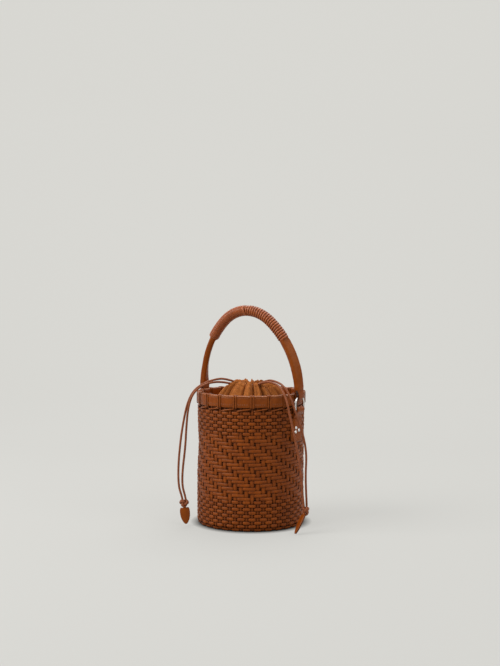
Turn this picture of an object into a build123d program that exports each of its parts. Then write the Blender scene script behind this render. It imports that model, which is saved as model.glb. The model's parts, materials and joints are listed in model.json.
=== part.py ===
from build123d import *
import math
import os

# Bucket bag: a woven leather cylinder with a drawstring pouch inside and an arched handle on two
# D-rings. Millimetres and degrees. The origin is the centre of the base, on the surface it stands
# on. +Z is up, the handle's arch lies along X, and the front is towards -Y.

# --- Driving dimensions -------------------------------------------------------------------------
# Woven shell
wall_outer_radius = 74.0
wall_thickness = 4.0
base_corner_radius = 7.0
base_panel_radius = 58.0
base_board_thickness = 2.0

# Rim
rim_height = 184.0
band_height = 16.0
band_thickness = 1.4
facing_thickness = 1.6
edge_height = 2.0
edge_round_share = 0.45
binding_pairs = 20
lace_width = 2.2
lace_thickness = 0.8
lace_pitch = 3.4
lace_hole_height = 1.4
lace_seat = 0.1
whip_height = 1.6
whip_slope = 8.0
whip_gap = 1.6
whip_seat = 0.1

# Pouch
pouch_thickness = 1.2
pouch_clearance = 0.6
collar_foot_height = 3.0
collar_foot_drop = 19.0
collar_outer_shares = [(0.81, -14.4), (0.635, -6.5), (0.465, 7.5)]
collar_inner_shares = [(0.55, -9.5), (0.78, -17.4)]
neck_radius = 25.0
neck_hole_radius = 6.5
neck_height = 15.0
casing_radius = 17.5
casing_drops = {"left": 6.0, "right": 11.1}
cord_diameter = 3.0

# D-rings
ring_wire = 2.6
ring_width = 21.0
ring_side = 7.0
ring_corner = 2.5
ring_bar_drop = 4.5

# Chapes, the straps that hold the rings
chape_width = 17.0
chape_thickness = 1.6
chape_length = 42.0
chape_fold_length = 11.5
pin_clearance = 0.3

# Anchor patches and their rivets
patch_width = 26.0
patch_height = 32.0
patch_cover = 1.8
patch_corner = 4.0
patch_drop = 33.0
rivet_head = 4.4
rivet_dome = 1.5
rivet_shank = 2.0
rivet_burr = 4.6
burr_thickness = 0.8
rivet_places = [(-5.8, 12.8), (-6.6, 18.2), (0.8, 16.5)]

# Handle
handle_lean = 4.6
handle_rise = 107.0
crown_radius = 58.0
leg_width = 13.6
leg_thickness = 8.6
leg_corner = 3.8
sheath_thickness = 1.6
leg_base_height = 6.0
wrap_cover = 0.7
wrap_start_angle = 34.0
loop_width = 10.0
loop_thickness = 1.7
loop_play = 1.0
slide_clearance = 0.3
loop_shoulder = 5.5
side_clearance = 0.4

# Cord ends
bend_share = 0.45
knot_diameter = 11.5
tab_width = 13.0
tab_length = 22.0
tab_thickness = 4.0
tab_neck_diameter = 4.0
tab_neck_length = 3.0
belly_share = 0.8
belly_drop_share = 0.7
tip_share = 0.2

# --- Derived sizes ------------------------------------------------------------------------------
wall_inner_radius = wall_outer_radius - wall_thickness
inner_corner_radius = base_corner_radius - wall_thickness
band_outer_radius = wall_outer_radius + band_thickness
facing_inner_radius = wall_inner_radius - facing_thickness
lace_outer_radius = band_outer_radius + lace_thickness
edge_bottom = rim_height - edge_height
band_bottom = rim_height - band_height
lace_hole_top = band_bottom
lace_hole_bottom = lace_hole_top - lace_hole_height
base_floor = wall_thickness + base_board_thickness
lace_inner_radius = facing_inner_radius - lace_seat - lace_thickness
lining_radius = lace_inner_radius - pouch_clearance
lining_inner_radius = lining_radius - pouch_thickness
collar_foot = rim_height - collar_foot_drop
neck_top = rim_height + neck_height

ring_arc_radius = ring_width / 2
wire_radius = ring_wire / 2
ring_bar_height = band_bottom - ring_bar_drop
hinge_height = ring_bar_height + ring_side
loop_half_thickness = wire_radius + loop_play + loop_thickness
ring_reach = lace_outer_radius + side_clearance + loop_half_thickness
spring_height = rim_height + leg_base_height
wrap_diameter = leg_width + 2 * wrap_cover

chape_inner_radius = wire_radius + pin_clearance
chape_outer_radius = chape_inner_radius + chape_thickness
chape_tail_radius = wall_outer_radius + 2 * chape_thickness
tail_span = (2 * chape_tail_radius, chape_width)
chape_fold_bottom = ring_bar_height - chape_fold_length
chape_bottom = chape_fold_bottom - (chape_length - chape_fold_length) + chape_thickness
patch_outer_radius = chape_tail_radius + patch_cover
patch_top = rim_height - patch_drop
patch_centre = patch_top - patch_height / 2

side_radius = ring_reach**2 + handle_rise**2 - 2 * handle_rise * crown_radius
side_radius = side_radius / (2 * (ring_reach - crown_radius))
side_centre = ring_reach - side_radius
spring_offset = spring_height - hinge_height
crown_centre = spring_offset + handle_rise - crown_radius
joint_angle = math.degrees(math.atan2(crown_centre - spring_offset, -side_centre))

# Routes of the four drawstring ends, from the neck of the pouch to the knots
cord_routes = {
    "cord_left_rear": [
        (-17.4, -16.6, 197.2),
        (-27.0, -27.4, 202.4),
        (-35.6, -41.0, 200.4),
        (-43.0, -54.6, 196.0),
        (-49.6, -67.6, 187.0),
        (-54.2, -75.4, 170.6),
        (-57.6, -79.6, 146.6),
        (-60.6, -82.7, 119.9),
        (-63.0, -85.0, 84.0),
        (-62.6, -85.2, 56.0),
        (-59.4, -82.4, 42.0),
        (-58.0, -81.6, 35.6),
    ],
    "cord_left_front": [
        (-14.6, -20.0, 193.8),
        (-23.4, -33.8, 197.8),
        (-31.6, -48.6, 198.0),
        (-38.4, -63.4, 194.4),
        (-45.4, -75.4, 183.4),
        (-50.6, -78.6, 164.4),
        (-53.6, -78.6, 138.4),
        (-55.4, -78.9, 108.4),
        (-58.4, -81.4, 77.8),
        (-58.6, -82.0, 56.0),
        (-55.4, -80.0, 42.6),
        (-54.2, -79.4, 36.0),
    ],
    "cord_right_front": [
        (17.6, -12.6, 193.4),
        (34.4, -17.4, 199.6),
        (52.4, -23.4, 200.0),
        (69.4, -29.4, 195.0),
        (81.4, -33.6, 179.6),
        (88.0, -33.4, 152.0),
        (94.5, -31.5, 124.0),
        (99.4, -28.6, 94.5),
        (101.8, -26.6, 65.3),
        (101.4, -23.6, 43.0),
        (102.2, -22.2, 34.6),
    ],
    "cord_right_rear": [
        (17.8, -6.2, 195.0),
        (34.8, -10.8, 201.8),
        (52.8, -15.8, 201.0),
        (70.0, -21.4, 195.4),
        (83.0, -25.6, 181.0),
        (91.6, -24.4, 157.4),
        (98.6, -19.4, 132.7),
        (102.6, -16.6, 106.5),
        (101.6, -17.6, 79.0),
        (102.8, -18.2, 55.0),
        (103.6, -18.0, 42.0),
        (103.8, -18.2, 34.6),
    ],
}
knot_places = {"left": (-56.3, -80.8, 32.0), "right": (103.2, -20.4, 30.0)}
tab_turns = {"left": (0.0, 0.0, 35.0), "right": (-24.0, 10.0, -35.0)}

# --- Shared planes and helpers ------------------------------------------------------------------
lean = math.radians(handle_lean)
handle_plane = Plane(
    origin=(0, 0, hinge_height),
    x_dir=(1, 0, 0),
    z_dir=(0, -math.cos(lean), -math.sin(lean)),
)
side_turns = {"right": 0, "left": 180}
binding_step = 360 / binding_pairs
os.makedirs("parts", exist_ok=True)


def write(builder, name):
    """Label a finished sub-part and write it to its own STEP file."""
    builder.part.label = name
    export_step(builder.part, f"parts/{name}.step")


def ring_section(inner_radius, outer_radius, bottom, height):
    """Add a plain tube about the Z axis to the part being built."""
    with BuildSketch(Plane.XY.offset(bottom)) as section:
        Circle(outer_radius)
        Circle(inner_radius, mode=Mode.SUBTRACT)
    extrude(section.sketch, amount=height)


def rivet_holes(side, inner, outer):
    """Cut the rivets' clearance holes between two distances from the axis."""
    for across, below in rivet_places:
        place = Location((0, 0, 0), (0, 0, side_turns[side]))
        centre = ((inner + outer) / 2, across, patch_top - below)
        with Locations(place * Location(centre, (0, 90, 0))):
            Cylinder(rivet_shank / 2, outer - inner, mode=Mode.SUBTRACT)


def corner_radii(points):
    """Give each inner corner of a route the largest arc that its two runs allow."""
    radii = []
    for before, corner, after in zip(points, points[1:], points[2:]):
        run_in = Vector(*corner) - Vector(*before)
        run_out = Vector(*after) - Vector(*corner)
        half_turn = math.radians(run_in.get_angle(run_out) / 2)
        shorter = min(run_in.length, run_out.length)
        radii.append(bend_share * shorter / math.tan(half_turn))
    return radii


# --- Woven shell --------------------------------------------------------------------------------
# The wall curls under at the base and ends at the sewn base panel.
with BuildPart() as woven_wall:
    with BuildSketch(Plane.XZ):
        with BuildLine():
            corner_x = wall_outer_radius - base_corner_radius
            Line((base_panel_radius, 0), (corner_x, 0))
            JernArc((corner_x, 0), (1, 0), base_corner_radius, 90)
            Line((wall_outer_radius, base_corner_radius), (wall_outer_radius, edge_bottom))
            Line((wall_outer_radius, edge_bottom), (wall_inner_radius, edge_bottom))
            Line((wall_inner_radius, edge_bottom), (wall_inner_radius, base_corner_radius))
            JernArc((wall_inner_radius, base_corner_radius), (0, -1), inner_corner_radius, -90)
            Line((corner_x, wall_thickness), (base_panel_radius, wall_thickness))
            Line((base_panel_radius, wall_thickness), (base_panel_radius, 0))
        make_face()
    revolve(axis=Axis.Z)
    with BuildSketch(Plane.XY.offset(lace_hole_bottom)):
        with PolarLocations(0, binding_pairs):
            with Locations((0, lace_pitch / 2), (0, -lace_pitch / 2)):
                Rectangle(lace_outer_radius * 2, lace_width, align=(Align.MIN, Align.CENTER))
    extrude(amount=lace_hole_height, mode=Mode.SUBTRACT)
    for side in side_turns:
        rivet_holes(side, wall_inner_radius - wall_thickness, wall_outer_radius + wall_thickness)
write(woven_wall, "woven_wall")

with BuildPart() as base_panel:
    with BuildSketch():
        Circle(base_panel_radius)
    extrude(amount=wall_thickness)
write(base_panel, "base_panel")

with BuildPart() as base_board:
    with BuildSketch(Plane.XY.offset(wall_thickness)):
        Circle(wall_outer_radius - base_corner_radius)
    extrude(amount=base_board_thickness)
write(base_board, "base_board")

# --- Rim ----------------------------------------------------------------------------------------
with BuildPart() as rim_band:
    ring_section(wall_outer_radius, band_outer_radius, band_bottom, edge_bottom - band_bottom)
write(rim_band, "rim_band")

with BuildPart() as rim_facing:
    ring_section(facing_inner_radius, wall_inner_radius, band_bottom, edge_bottom - band_bottom)
write(rim_facing, "rim_facing")

with BuildPart() as rim_edge:
    ring_section(facing_inner_radius, band_outer_radius, edge_bottom, edge_height)
    fillet(rim_edge.edges().group_by(Axis.Z)[-1], edge_round_share * edge_height)
write(rim_edge, "rim_edge")

# Each lace is a closed band round the rim, and passes through its own hole in the weave.
with BuildPart() as one_lace:
    with BuildSketch(Plane.XZ.offset(-lace_width / 2)):
        with BuildLine():
            Polyline(
                (lace_inner_radius, lace_hole_bottom),
                (lace_outer_radius, lace_hole_bottom),
                (lace_outer_radius, rim_height + lace_thickness),
                (lace_inner_radius, rim_height + lace_thickness),
                close=True,
            )
        make_face()
    extrude(amount=lace_width)
    with BuildSketch(Plane.XZ.offset(-lace_width / 2)):
        with BuildLine():
            Polyline(
                (facing_inner_radius - lace_seat, lace_hole_bottom + lace_thickness),
                (band_outer_radius, lace_hole_bottom + lace_thickness),
                (band_outer_radius, rim_height),
                (facing_inner_radius - lace_seat, rim_height),
                close=True,
            )
        make_face()
    extrude(amount=lace_width, mode=Mode.SUBTRACT)

with BuildPart() as rim_bindings:
    for turn in range(binding_pairs):
        with Locations(Location((0, 0, 0), (0, 0, turn * binding_step))):
            with Locations((0, lace_pitch / 2, 0), (0, -lace_pitch / 2, 0)):
                add(one_lace.part)
write(rim_bindings, "rim_bindings")

# One slanting lace runs from the foot of each pair to the next, just under the band.
whip_middle = lace_hole_bottom - whip_gap - whip_height
whip_arc = binding_step - math.degrees((lace_pitch + lace_width) / wall_outer_radius)
with BuildPart() as one_whip:
    with BuildSketch(Plane.XZ):
        with Locations((wall_outer_radius + whip_seat + lace_thickness, 0)):
            Rectangle(lace_thickness, whip_height, align=(Align.MAX, Align.CENTER))
    revolve(axis=Axis.Z, revolution_arc=whip_arc)
whip_turns = [Rot(0, 0, turn * binding_step) for turn in range(binding_pairs)]
with BuildPart() as whip_lace:
    for turn in whip_turns:
        with Locations(Pos(0, 0, whip_middle) * turn * Rot(whip_slope, 0, -whip_arc / 2)):
            add(one_whip.part)
write(whip_lace, "whip_lace")

# --- Pouch --------------------------------------------------------------------------------------
with BuildPart() as pouch_lining:
    with BuildSketch(Plane.XY.offset(base_floor)):
        Circle(lining_radius)
    extrude(amount=pouch_thickness)
    ring_section(lining_inner_radius, lining_radius, base_floor, collar_foot - base_floor)
write(pouch_lining, "pouch_lining")

# The collar is sewn to the facing at its foot and gathers inwards to the neck.
collar_outer = [(share * lining_radius, rim_height + rise) for share, rise in collar_outer_shares]
collar_inner = [(share * lining_radius, rim_height + rise) for share, rise in collar_inner_shares]
foot_top = collar_foot + collar_foot_height
hole_top = neck_top - neck_height / 2
collar_ends = ((-1, 0), (-1, 0))
with BuildPart() as pouch_collar:
    with BuildSketch(Plane.XZ):
        with BuildLine():
            Line((lining_inner_radius, collar_foot), (lace_inner_radius, collar_foot))
            Line((lace_inner_radius, collar_foot), (lace_inner_radius, foot_top))
            Spline(
                (lace_inner_radius, foot_top),
                *collar_outer,
                (neck_radius, neck_top),
                tangents=collar_ends,
            )
            Line((neck_radius, neck_top), (casing_radius, neck_top))
            Line((casing_radius, neck_top), (neck_hole_radius, hole_top))
            Line((neck_hole_radius, hole_top), (neck_hole_radius, rim_height))
            Line((neck_hole_radius, rim_height), (neck_radius, rim_height))
            Spline((neck_radius, rim_height), *collar_inner, (lining_inner_radius, collar_foot))
        make_face()
    revolve(axis=Axis.Z)
    for drop in casing_drops.values():
        with Locations((0, 0, neck_top - drop)):
            Torus(casing_radius, cord_diameter / 2, mode=Mode.SUBTRACT)
write(pouch_collar, "pouch_collar")

# The stretch of each drawstring that runs hidden in the casing.
for side, drop in casing_drops.items():
    with BuildPart() as casing_cord:
        with Locations((0, 0, neck_top - drop)):
            Torus(casing_radius, cord_diameter / 2)
    write(casing_cord, f"casing_cord_{side}")

# --- D-rings ------------------------------------------------------------------------------------
for side, turn in side_turns.items():
    ring_plane = Plane(Location((0, 0, 0), (0, 0, turn)) * Plane.YZ.offset(ring_reach).location)
    with BuildPart() as ring:
        with BuildLine(ring_plane) as ring_path:
            inset = ring_arc_radius - ring_corner
            lower = ring_bar_height + ring_corner
            Line((0, ring_bar_height), (inset, ring_bar_height))
            JernArc((inset, ring_bar_height), (1, 0), ring_corner, 90)
            Line((ring_arc_radius, lower), (ring_arc_radius, hinge_height))
            CenterArc((0, hinge_height), ring_arc_radius, 0, 180)
            Line((-ring_arc_radius, hinge_height), (-ring_arc_radius, lower))
            JernArc((-ring_arc_radius, lower), (0, -1), ring_corner, 90)
            Line((-inset, ring_bar_height), (0, ring_bar_height))
        with BuildSketch(Plane(origin=ring_path.line @ 0, z_dir=ring_path.line % 0)):
            Circle(wire_radius)
        sweep(path=ring_path.wires()[0])
    write(ring, f"ring_{side}")

# --- Chapes and anchor patches ------------------------------------------------------------------
for side, turn in side_turns.items():
    side_plane = Plane(Location((0, 0, 0), (0, 0, turn)) * Plane.XZ.location)
    with BuildPart() as chape:
        with BuildSketch(side_plane):
            with Locations((ring_reach, ring_bar_height)):
                Circle(chape_outer_radius)
            Polygon(
                (ring_reach - chape_outer_radius, ring_bar_height),
                (wall_outer_radius, chape_fold_bottom),
                (chape_tail_radius, chape_fold_bottom),
                (ring_reach + chape_outer_radius, ring_bar_height),
                align=None,
            )
            with Locations((ring_reach, ring_bar_height)):
                Circle(chape_inner_radius, mode=Mode.SUBTRACT)
            Polygon(
                (ring_reach - chape_inner_radius, ring_bar_height),
                (wall_outer_radius + chape_thickness, chape_fold_bottom + chape_thickness),
                (ring_reach + chape_inner_radius, ring_bar_height),
                align=None,
                mode=Mode.SUBTRACT,
            )
        extrude(amount=chape_width / 2, both=True)
        with BuildSketch(Plane.XY.offset(chape_bottom)):
            Circle(chape_tail_radius)
            Circle(wall_outer_radius, mode=Mode.SUBTRACT)
            with Locations(Location((0, 0, 0), (0, 0, turn))):
                Rectangle(*tail_span, align=(Align.MIN, Align.CENTER), mode=Mode.INTERSECT)
        extrude(amount=chape_fold_bottom - chape_bottom)
        rivet_holes(side, wall_inner_radius, patch_outer_radius)
    write(chape, f"chape_{side}")

    patch_face = Plane(Location((0, 0, 0), (0, 0, turn)) * Plane.YZ.offset(wall_inner_radius).location)
    with BuildPart() as patch:
        ring_section(wall_outer_radius, patch_outer_radius, patch_top - patch_height, patch_height)
        with BuildSketch(patch_face):
            with Locations((0, patch_centre)):
                RectangleRounded(patch_width, patch_height, patch_corner)
        extrude(amount=wall_thickness + patch_outer_radius, mode=Mode.INTERSECT)
        with BuildSketch(Plane.XY.offset(chape_bottom)):
            Circle(chape_tail_radius)
            with Locations(Location((0, 0, 0), (0, 0, turn))):
                Rectangle(*tail_span, align=(Align.MIN, Align.CENTER), mode=Mode.INTERSECT)
        extrude(amount=patch_height, mode=Mode.SUBTRACT)
        rivet_holes(side, wall_inner_radius, patch_outer_radius + wall_thickness)
    write(patch, f"anchor_patch_{side}")

    burr_reach = wall_inner_radius - burr_thickness
    with BuildPart() as rivets:
        for across, below in rivet_places:
            place = Location((0, 0, 0), (0, 0, turn))
            burr_centre = (burr_reach - burr_thickness, across, patch_top - below)
            axis_start = place * Location(burr_centre, (0, 90, 0))
            shank = patch_outer_radius - burr_reach + burr_thickness
            with Locations(axis_start):
                Cylinder(rivet_shank / 2, shank, align=(Align.CENTER, Align.CENTER, Align.MIN))
                Cylinder(rivet_burr / 2, burr_thickness, align=(Align.CENTER, Align.CENTER, Align.MIN))
            dome_start = place * Location((patch_outer_radius, across, patch_top - below), (0, 90, 0))
            dome = ((rivet_head / 2) ** 2 + rivet_dome**2) / (2 * rivet_dome)
            with Locations(dome_start * Location((0, 0, rivet_dome - dome))):
                sphere_top = Sphere(dome, mode=Mode.PRIVATE)
            cap = dome_start * Cylinder(
                rivet_head, rivet_dome, align=(Align.CENTER, Align.CENTER, Align.MIN), mode=Mode.PRIVATE
            )
            add(sphere_top & cap)
    write(rivets, f"rivets_{side}")

# --- Handle -------------------------------------------------------------------------------------
with BuildLine(handle_plane) as arch:
    CenterArc((side_centre, spring_offset), side_radius, 0, joint_angle)
    CenterArc((0, crown_centre), crown_radius, joint_angle, 180 - 2 * joint_angle)
    CenterArc((-side_centre, spring_offset), side_radius, 180 - joint_angle, joint_angle)
with BuildLine(handle_plane) as grip_arch:
    grip_turn = joint_angle - wrap_start_angle
    CenterArc((side_centre, spring_offset), side_radius, wrap_start_angle, grip_turn)
    CenterArc((0, crown_centre), crown_radius, joint_angle, 180 - 2 * joint_angle)
    CenterArc((-side_centre, spring_offset), side_radius, 180 - joint_angle, grip_turn)
arch_wire = arch.wires()[0]
grip_wire = grip_arch.wires()[0]
arch_start = Plane(origin=arch_wire @ 0, x_dir=(1, 0, 0), z_dir=arch_wire % 0)
grip_start = Plane(origin=grip_wire @ 0, x_dir=handle_plane.z_dir, z_dir=grip_wire % 0)
core_thickness = leg_thickness - 2 * sheath_thickness
core_width = leg_width - 2 * sheath_thickness

with BuildPart() as handle_core:
    with BuildSketch(arch_start):
        RectangleRounded(core_thickness, core_width, leg_corner - sheath_thickness)
    sweep(path=arch_wire)
write(handle_core, "handle_core")

with BuildPart() as handle_sheath:
    with BuildSketch(arch_start):
        RectangleRounded(leg_thickness, leg_width, leg_corner)
        RectangleRounded(core_thickness, core_width, leg_corner - sheath_thickness, mode=Mode.SUBTRACT)
    sweep(path=arch_wire)
write(handle_sheath, "handle_sheath")

with BuildPart() as handle_wrap:
    with BuildSketch(grip_start):
        Circle(wrap_diameter / 2)
        RectangleRounded(leg_width, leg_thickness, leg_corner, mode=Mode.SUBTRACT)
    sweep(path=grip_wire)
write(handle_wrap, "handle_wrap")

# Each end is a flat leather loop whose slot slides along the ring's arc as the handle swings.
slot_top = ring_arc_radius + wire_radius + slide_clearance
slot_bottom = math.sqrt(ring_arc_radius**2 - (loop_width / 2) ** 2) - wire_radius - slide_clearance
slot_height = slot_top - slot_bottom
slot_width = ring_wire + 2 * loop_play
slot_corner = bend_share * min(slot_width, slot_height)
loop_bottom = slot_bottom - loop_thickness
for side, direction in {"right": 1, "left": -1}.items():
    loop_centre = direction * ring_reach
    end_height = spring_offset - loop_bottom
    across_plane = Plane(origin=handle_plane.origin, x_dir=handle_plane.z_dir, z_dir=(-1, 0, 0))
    with BuildPart() as handle_end:
        with BuildSketch(handle_plane):
            with Locations((loop_centre, loop_bottom)):
                Rectangle(2 * loop_half_thickness, end_height, align=(Align.CENTER, Align.MIN))
            with Locations((loop_centre, slot_bottom + slot_height / 2)):
                RectangleRounded(slot_width, slot_height, slot_corner, mode=Mode.SUBTRACT)
        extrude(amount=leg_width / 2, both=True)
        with BuildSketch(across_plane):
            with BuildLine():
                Polyline(
                    (-loop_width / 2, loop_bottom),
                    (loop_width / 2, loop_bottom),
                    (loop_width / 2, slot_top),
                    (leg_width / 2, spring_offset - loop_shoulder + slot_width / 2),
                    (leg_width / 2, spring_offset),
                    (-leg_width / 2, spring_offset),
                    (-leg_width / 2, spring_offset - loop_shoulder + slot_width / 2),
                    (-loop_width / 2, slot_top),
                    close=True,
                )
            make_face()
        extrude(amount=2 * ring_reach, both=True, mode=Mode.INTERSECT)
    write(handle_end, f"handle_end_{side}")

# --- Drawstring ends, knots and tabs ------------------------------------------------------------
for name, route in cord_routes.items():
    radii = corner_radii(route)
    with BuildPart() as cord:
        with BuildLine() as cord_path:
            FilletPolyline(*route, radius=radii)
        with BuildSketch(Plane(origin=cord_path.line @ 0, z_dir=cord_path.line % 0)):
            Circle(cord_diameter / 2)
        sweep(path=cord_path.wires()[0])
    cord_length = cord_path.wires()[0].length
    expected = math.pi * (cord_diameter / 2) ** 2 * cord_length
    print(name, "radii", [round(radius, 1) for radius in radii])
    print(name, "length", round(cord_length, 1), "volume ratio", round(cord.part.volume / expected, 4))
    write(cord, name)

for side, place in knot_places.items():
    with BuildPart() as knot:
        with Locations(place):
            Sphere(knot_diameter / 2)
    write(knot, f"knot_{side}")

    tab_plane = Plane(Location(place, tab_turns[side]) * Plane.XZ.location)
    tab_top = -knot_diameter / 2 - tab_neck_length / 2
    tip_half_width = tip_share * tab_width / 2
    belly_half_width = belly_share * tab_width / 2
    belly = tab_top - belly_drop_share * tab_length
    tip = tab_top - tab_length
    with BuildPart() as tab:
        with BuildSketch(tab_plane):
            with BuildLine():
                Line((-tab_width / 2, tab_top), (tab_width / 2, tab_top))
                Line((tab_width / 2, tab_top), (tab_width / 2, tab_top - tab_width / 2))
                ThreePointArc(
                    (tab_width / 2, tab_top - tab_width / 2),
                    (belly_half_width, belly),
                    (tip_half_width, tip),
                )
                Line((tip_half_width, tip), (-tip_half_width, tip))
                ThreePointArc(
                    (-tip_half_width, tip),
                    (-belly_half_width, belly),
                    (-tab_width / 2, tab_top - tab_width / 2),
                )
                Line((-tab_width / 2, tab_top - tab_width / 2), (-tab_width / 2, tab_top))
            make_face()
        extrude(amount=tab_thickness / 2, both=True)
        neck_plane = Plane(Location(place, tab_turns[side]) * Location((0, 0, tab_top)))
        with BuildSketch(neck_plane):
            Circle(tab_neck_diameter / 2)
        extrude(amount=tab_neck_length)
    write(tab, f"tab_{side}")
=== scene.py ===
"""Looks of the woven bucket bag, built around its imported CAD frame."""
from __future__ import annotations

import json
import logging
import math
from dataclasses import dataclass
from enum import Enum
from typing import Callable, Iterable, Sequence

import bpy
import numpy as np
from mathutils import Matrix, Vector
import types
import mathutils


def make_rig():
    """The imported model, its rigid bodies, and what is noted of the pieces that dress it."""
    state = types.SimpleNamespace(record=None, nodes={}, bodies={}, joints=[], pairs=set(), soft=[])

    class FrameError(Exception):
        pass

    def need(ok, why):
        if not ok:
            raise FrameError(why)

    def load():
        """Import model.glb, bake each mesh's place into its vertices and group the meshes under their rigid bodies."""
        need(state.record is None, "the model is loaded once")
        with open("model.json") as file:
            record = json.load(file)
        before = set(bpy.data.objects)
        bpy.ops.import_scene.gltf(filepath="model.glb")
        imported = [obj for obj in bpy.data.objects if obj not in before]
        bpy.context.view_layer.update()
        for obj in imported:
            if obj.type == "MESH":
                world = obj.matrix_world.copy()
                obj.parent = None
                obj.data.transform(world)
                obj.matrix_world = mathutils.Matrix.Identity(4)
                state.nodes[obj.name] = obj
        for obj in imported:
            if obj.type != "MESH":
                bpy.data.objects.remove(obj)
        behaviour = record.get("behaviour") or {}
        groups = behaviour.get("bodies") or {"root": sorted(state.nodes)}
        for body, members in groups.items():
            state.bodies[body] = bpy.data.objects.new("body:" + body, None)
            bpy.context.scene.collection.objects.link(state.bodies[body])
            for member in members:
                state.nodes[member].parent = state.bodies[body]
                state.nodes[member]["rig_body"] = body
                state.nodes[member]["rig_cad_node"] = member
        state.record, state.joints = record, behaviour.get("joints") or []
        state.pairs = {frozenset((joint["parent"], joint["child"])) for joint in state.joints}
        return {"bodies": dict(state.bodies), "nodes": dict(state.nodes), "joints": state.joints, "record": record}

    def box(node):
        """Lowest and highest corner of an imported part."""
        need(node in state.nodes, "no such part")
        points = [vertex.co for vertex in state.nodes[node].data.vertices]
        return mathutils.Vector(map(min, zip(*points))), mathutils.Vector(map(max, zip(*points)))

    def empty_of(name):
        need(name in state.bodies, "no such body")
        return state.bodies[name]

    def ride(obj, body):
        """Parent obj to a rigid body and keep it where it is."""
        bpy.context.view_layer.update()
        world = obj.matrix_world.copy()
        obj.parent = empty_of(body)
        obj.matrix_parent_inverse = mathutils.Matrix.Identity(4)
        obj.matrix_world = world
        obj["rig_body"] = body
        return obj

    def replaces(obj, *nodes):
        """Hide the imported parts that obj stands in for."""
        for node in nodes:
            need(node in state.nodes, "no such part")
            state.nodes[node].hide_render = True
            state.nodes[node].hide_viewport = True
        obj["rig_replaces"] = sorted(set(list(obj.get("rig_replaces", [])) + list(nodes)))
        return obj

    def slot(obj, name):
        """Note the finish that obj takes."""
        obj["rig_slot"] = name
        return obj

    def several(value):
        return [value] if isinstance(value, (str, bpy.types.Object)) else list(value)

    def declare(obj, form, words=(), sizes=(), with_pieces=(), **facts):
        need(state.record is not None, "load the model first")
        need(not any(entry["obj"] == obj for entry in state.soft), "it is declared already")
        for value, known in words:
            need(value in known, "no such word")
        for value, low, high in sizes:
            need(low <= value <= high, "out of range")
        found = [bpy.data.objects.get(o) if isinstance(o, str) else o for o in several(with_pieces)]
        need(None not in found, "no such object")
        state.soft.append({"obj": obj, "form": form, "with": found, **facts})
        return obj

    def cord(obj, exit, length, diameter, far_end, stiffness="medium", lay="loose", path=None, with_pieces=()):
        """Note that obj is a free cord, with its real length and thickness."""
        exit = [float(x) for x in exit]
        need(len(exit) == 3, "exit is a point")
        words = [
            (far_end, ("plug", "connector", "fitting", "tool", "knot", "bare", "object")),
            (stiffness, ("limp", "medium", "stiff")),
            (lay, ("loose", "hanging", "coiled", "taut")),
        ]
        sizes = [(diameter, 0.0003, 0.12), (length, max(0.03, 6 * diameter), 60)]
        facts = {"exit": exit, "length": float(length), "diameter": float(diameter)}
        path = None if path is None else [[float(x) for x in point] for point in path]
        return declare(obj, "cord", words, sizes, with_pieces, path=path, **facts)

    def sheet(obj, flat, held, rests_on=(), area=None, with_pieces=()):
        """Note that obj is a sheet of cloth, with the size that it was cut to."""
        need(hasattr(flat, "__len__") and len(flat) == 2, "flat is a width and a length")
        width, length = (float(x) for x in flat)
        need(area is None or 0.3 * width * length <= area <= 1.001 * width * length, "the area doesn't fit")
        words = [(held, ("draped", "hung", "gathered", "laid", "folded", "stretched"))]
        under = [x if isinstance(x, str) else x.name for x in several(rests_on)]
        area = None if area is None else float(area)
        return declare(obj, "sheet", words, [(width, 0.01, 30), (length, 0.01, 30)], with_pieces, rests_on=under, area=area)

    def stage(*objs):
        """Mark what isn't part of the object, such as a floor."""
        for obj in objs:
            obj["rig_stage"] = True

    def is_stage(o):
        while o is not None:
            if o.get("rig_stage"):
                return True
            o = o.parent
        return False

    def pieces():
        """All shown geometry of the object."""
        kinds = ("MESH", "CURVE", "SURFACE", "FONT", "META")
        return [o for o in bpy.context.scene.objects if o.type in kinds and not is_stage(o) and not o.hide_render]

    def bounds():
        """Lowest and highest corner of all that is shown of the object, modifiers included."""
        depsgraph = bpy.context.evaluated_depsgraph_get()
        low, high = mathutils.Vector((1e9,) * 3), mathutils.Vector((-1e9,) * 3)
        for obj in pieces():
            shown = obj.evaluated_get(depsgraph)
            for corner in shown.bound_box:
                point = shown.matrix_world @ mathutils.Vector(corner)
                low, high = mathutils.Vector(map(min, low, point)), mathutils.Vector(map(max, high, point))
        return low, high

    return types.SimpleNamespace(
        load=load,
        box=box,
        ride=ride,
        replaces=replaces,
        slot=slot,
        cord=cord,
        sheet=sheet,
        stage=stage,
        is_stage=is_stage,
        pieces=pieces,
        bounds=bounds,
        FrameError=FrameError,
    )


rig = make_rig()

log = logging.getLogger("bucket_bag")
MM = 0.001
Pair = tuple[float, float]
Triple = tuple[float, float, float]
Colour = Triple
Array = np.ndarray
Piece = bpy.types.Object
Surface = Callable[[Array, Array], Array]


# ---- Modelling helpers ----
def deselect() -> None:
    """Leave edit mode and select nothing, so that an operator acts on its own piece alone."""
    if bpy.context.object and bpy.context.object.mode != "OBJECT":
        bpy.ops.object.mode_set(mode="OBJECT")
    bpy.ops.object.select_all(action="DESELECT")


def activate(piece: Piece) -> None:
    """Select one piece alone and make it active."""
    deselect()
    piece.select_set(True)
    bpy.context.view_layer.objects.active = piece


def apply_modifiers(piece: Piece) -> Piece:
    """Apply every modifier of a piece.

    Args:
        piece: The piece to finish.
    Returns:
        The same piece.
    """
    activate(piece)
    for modifier in list(piece.modifiers):
        bpy.ops.object.modifier_apply(modifier=modifier.name)
    return piece


def apply_place(piece: Piece) -> Piece:
    """Put a piece's place into its mesh and leave its object at the origin."""
    activate(piece)
    bpy.ops.object.transform_apply(location=True, rotation=True, scale=True)
    return piece


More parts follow.
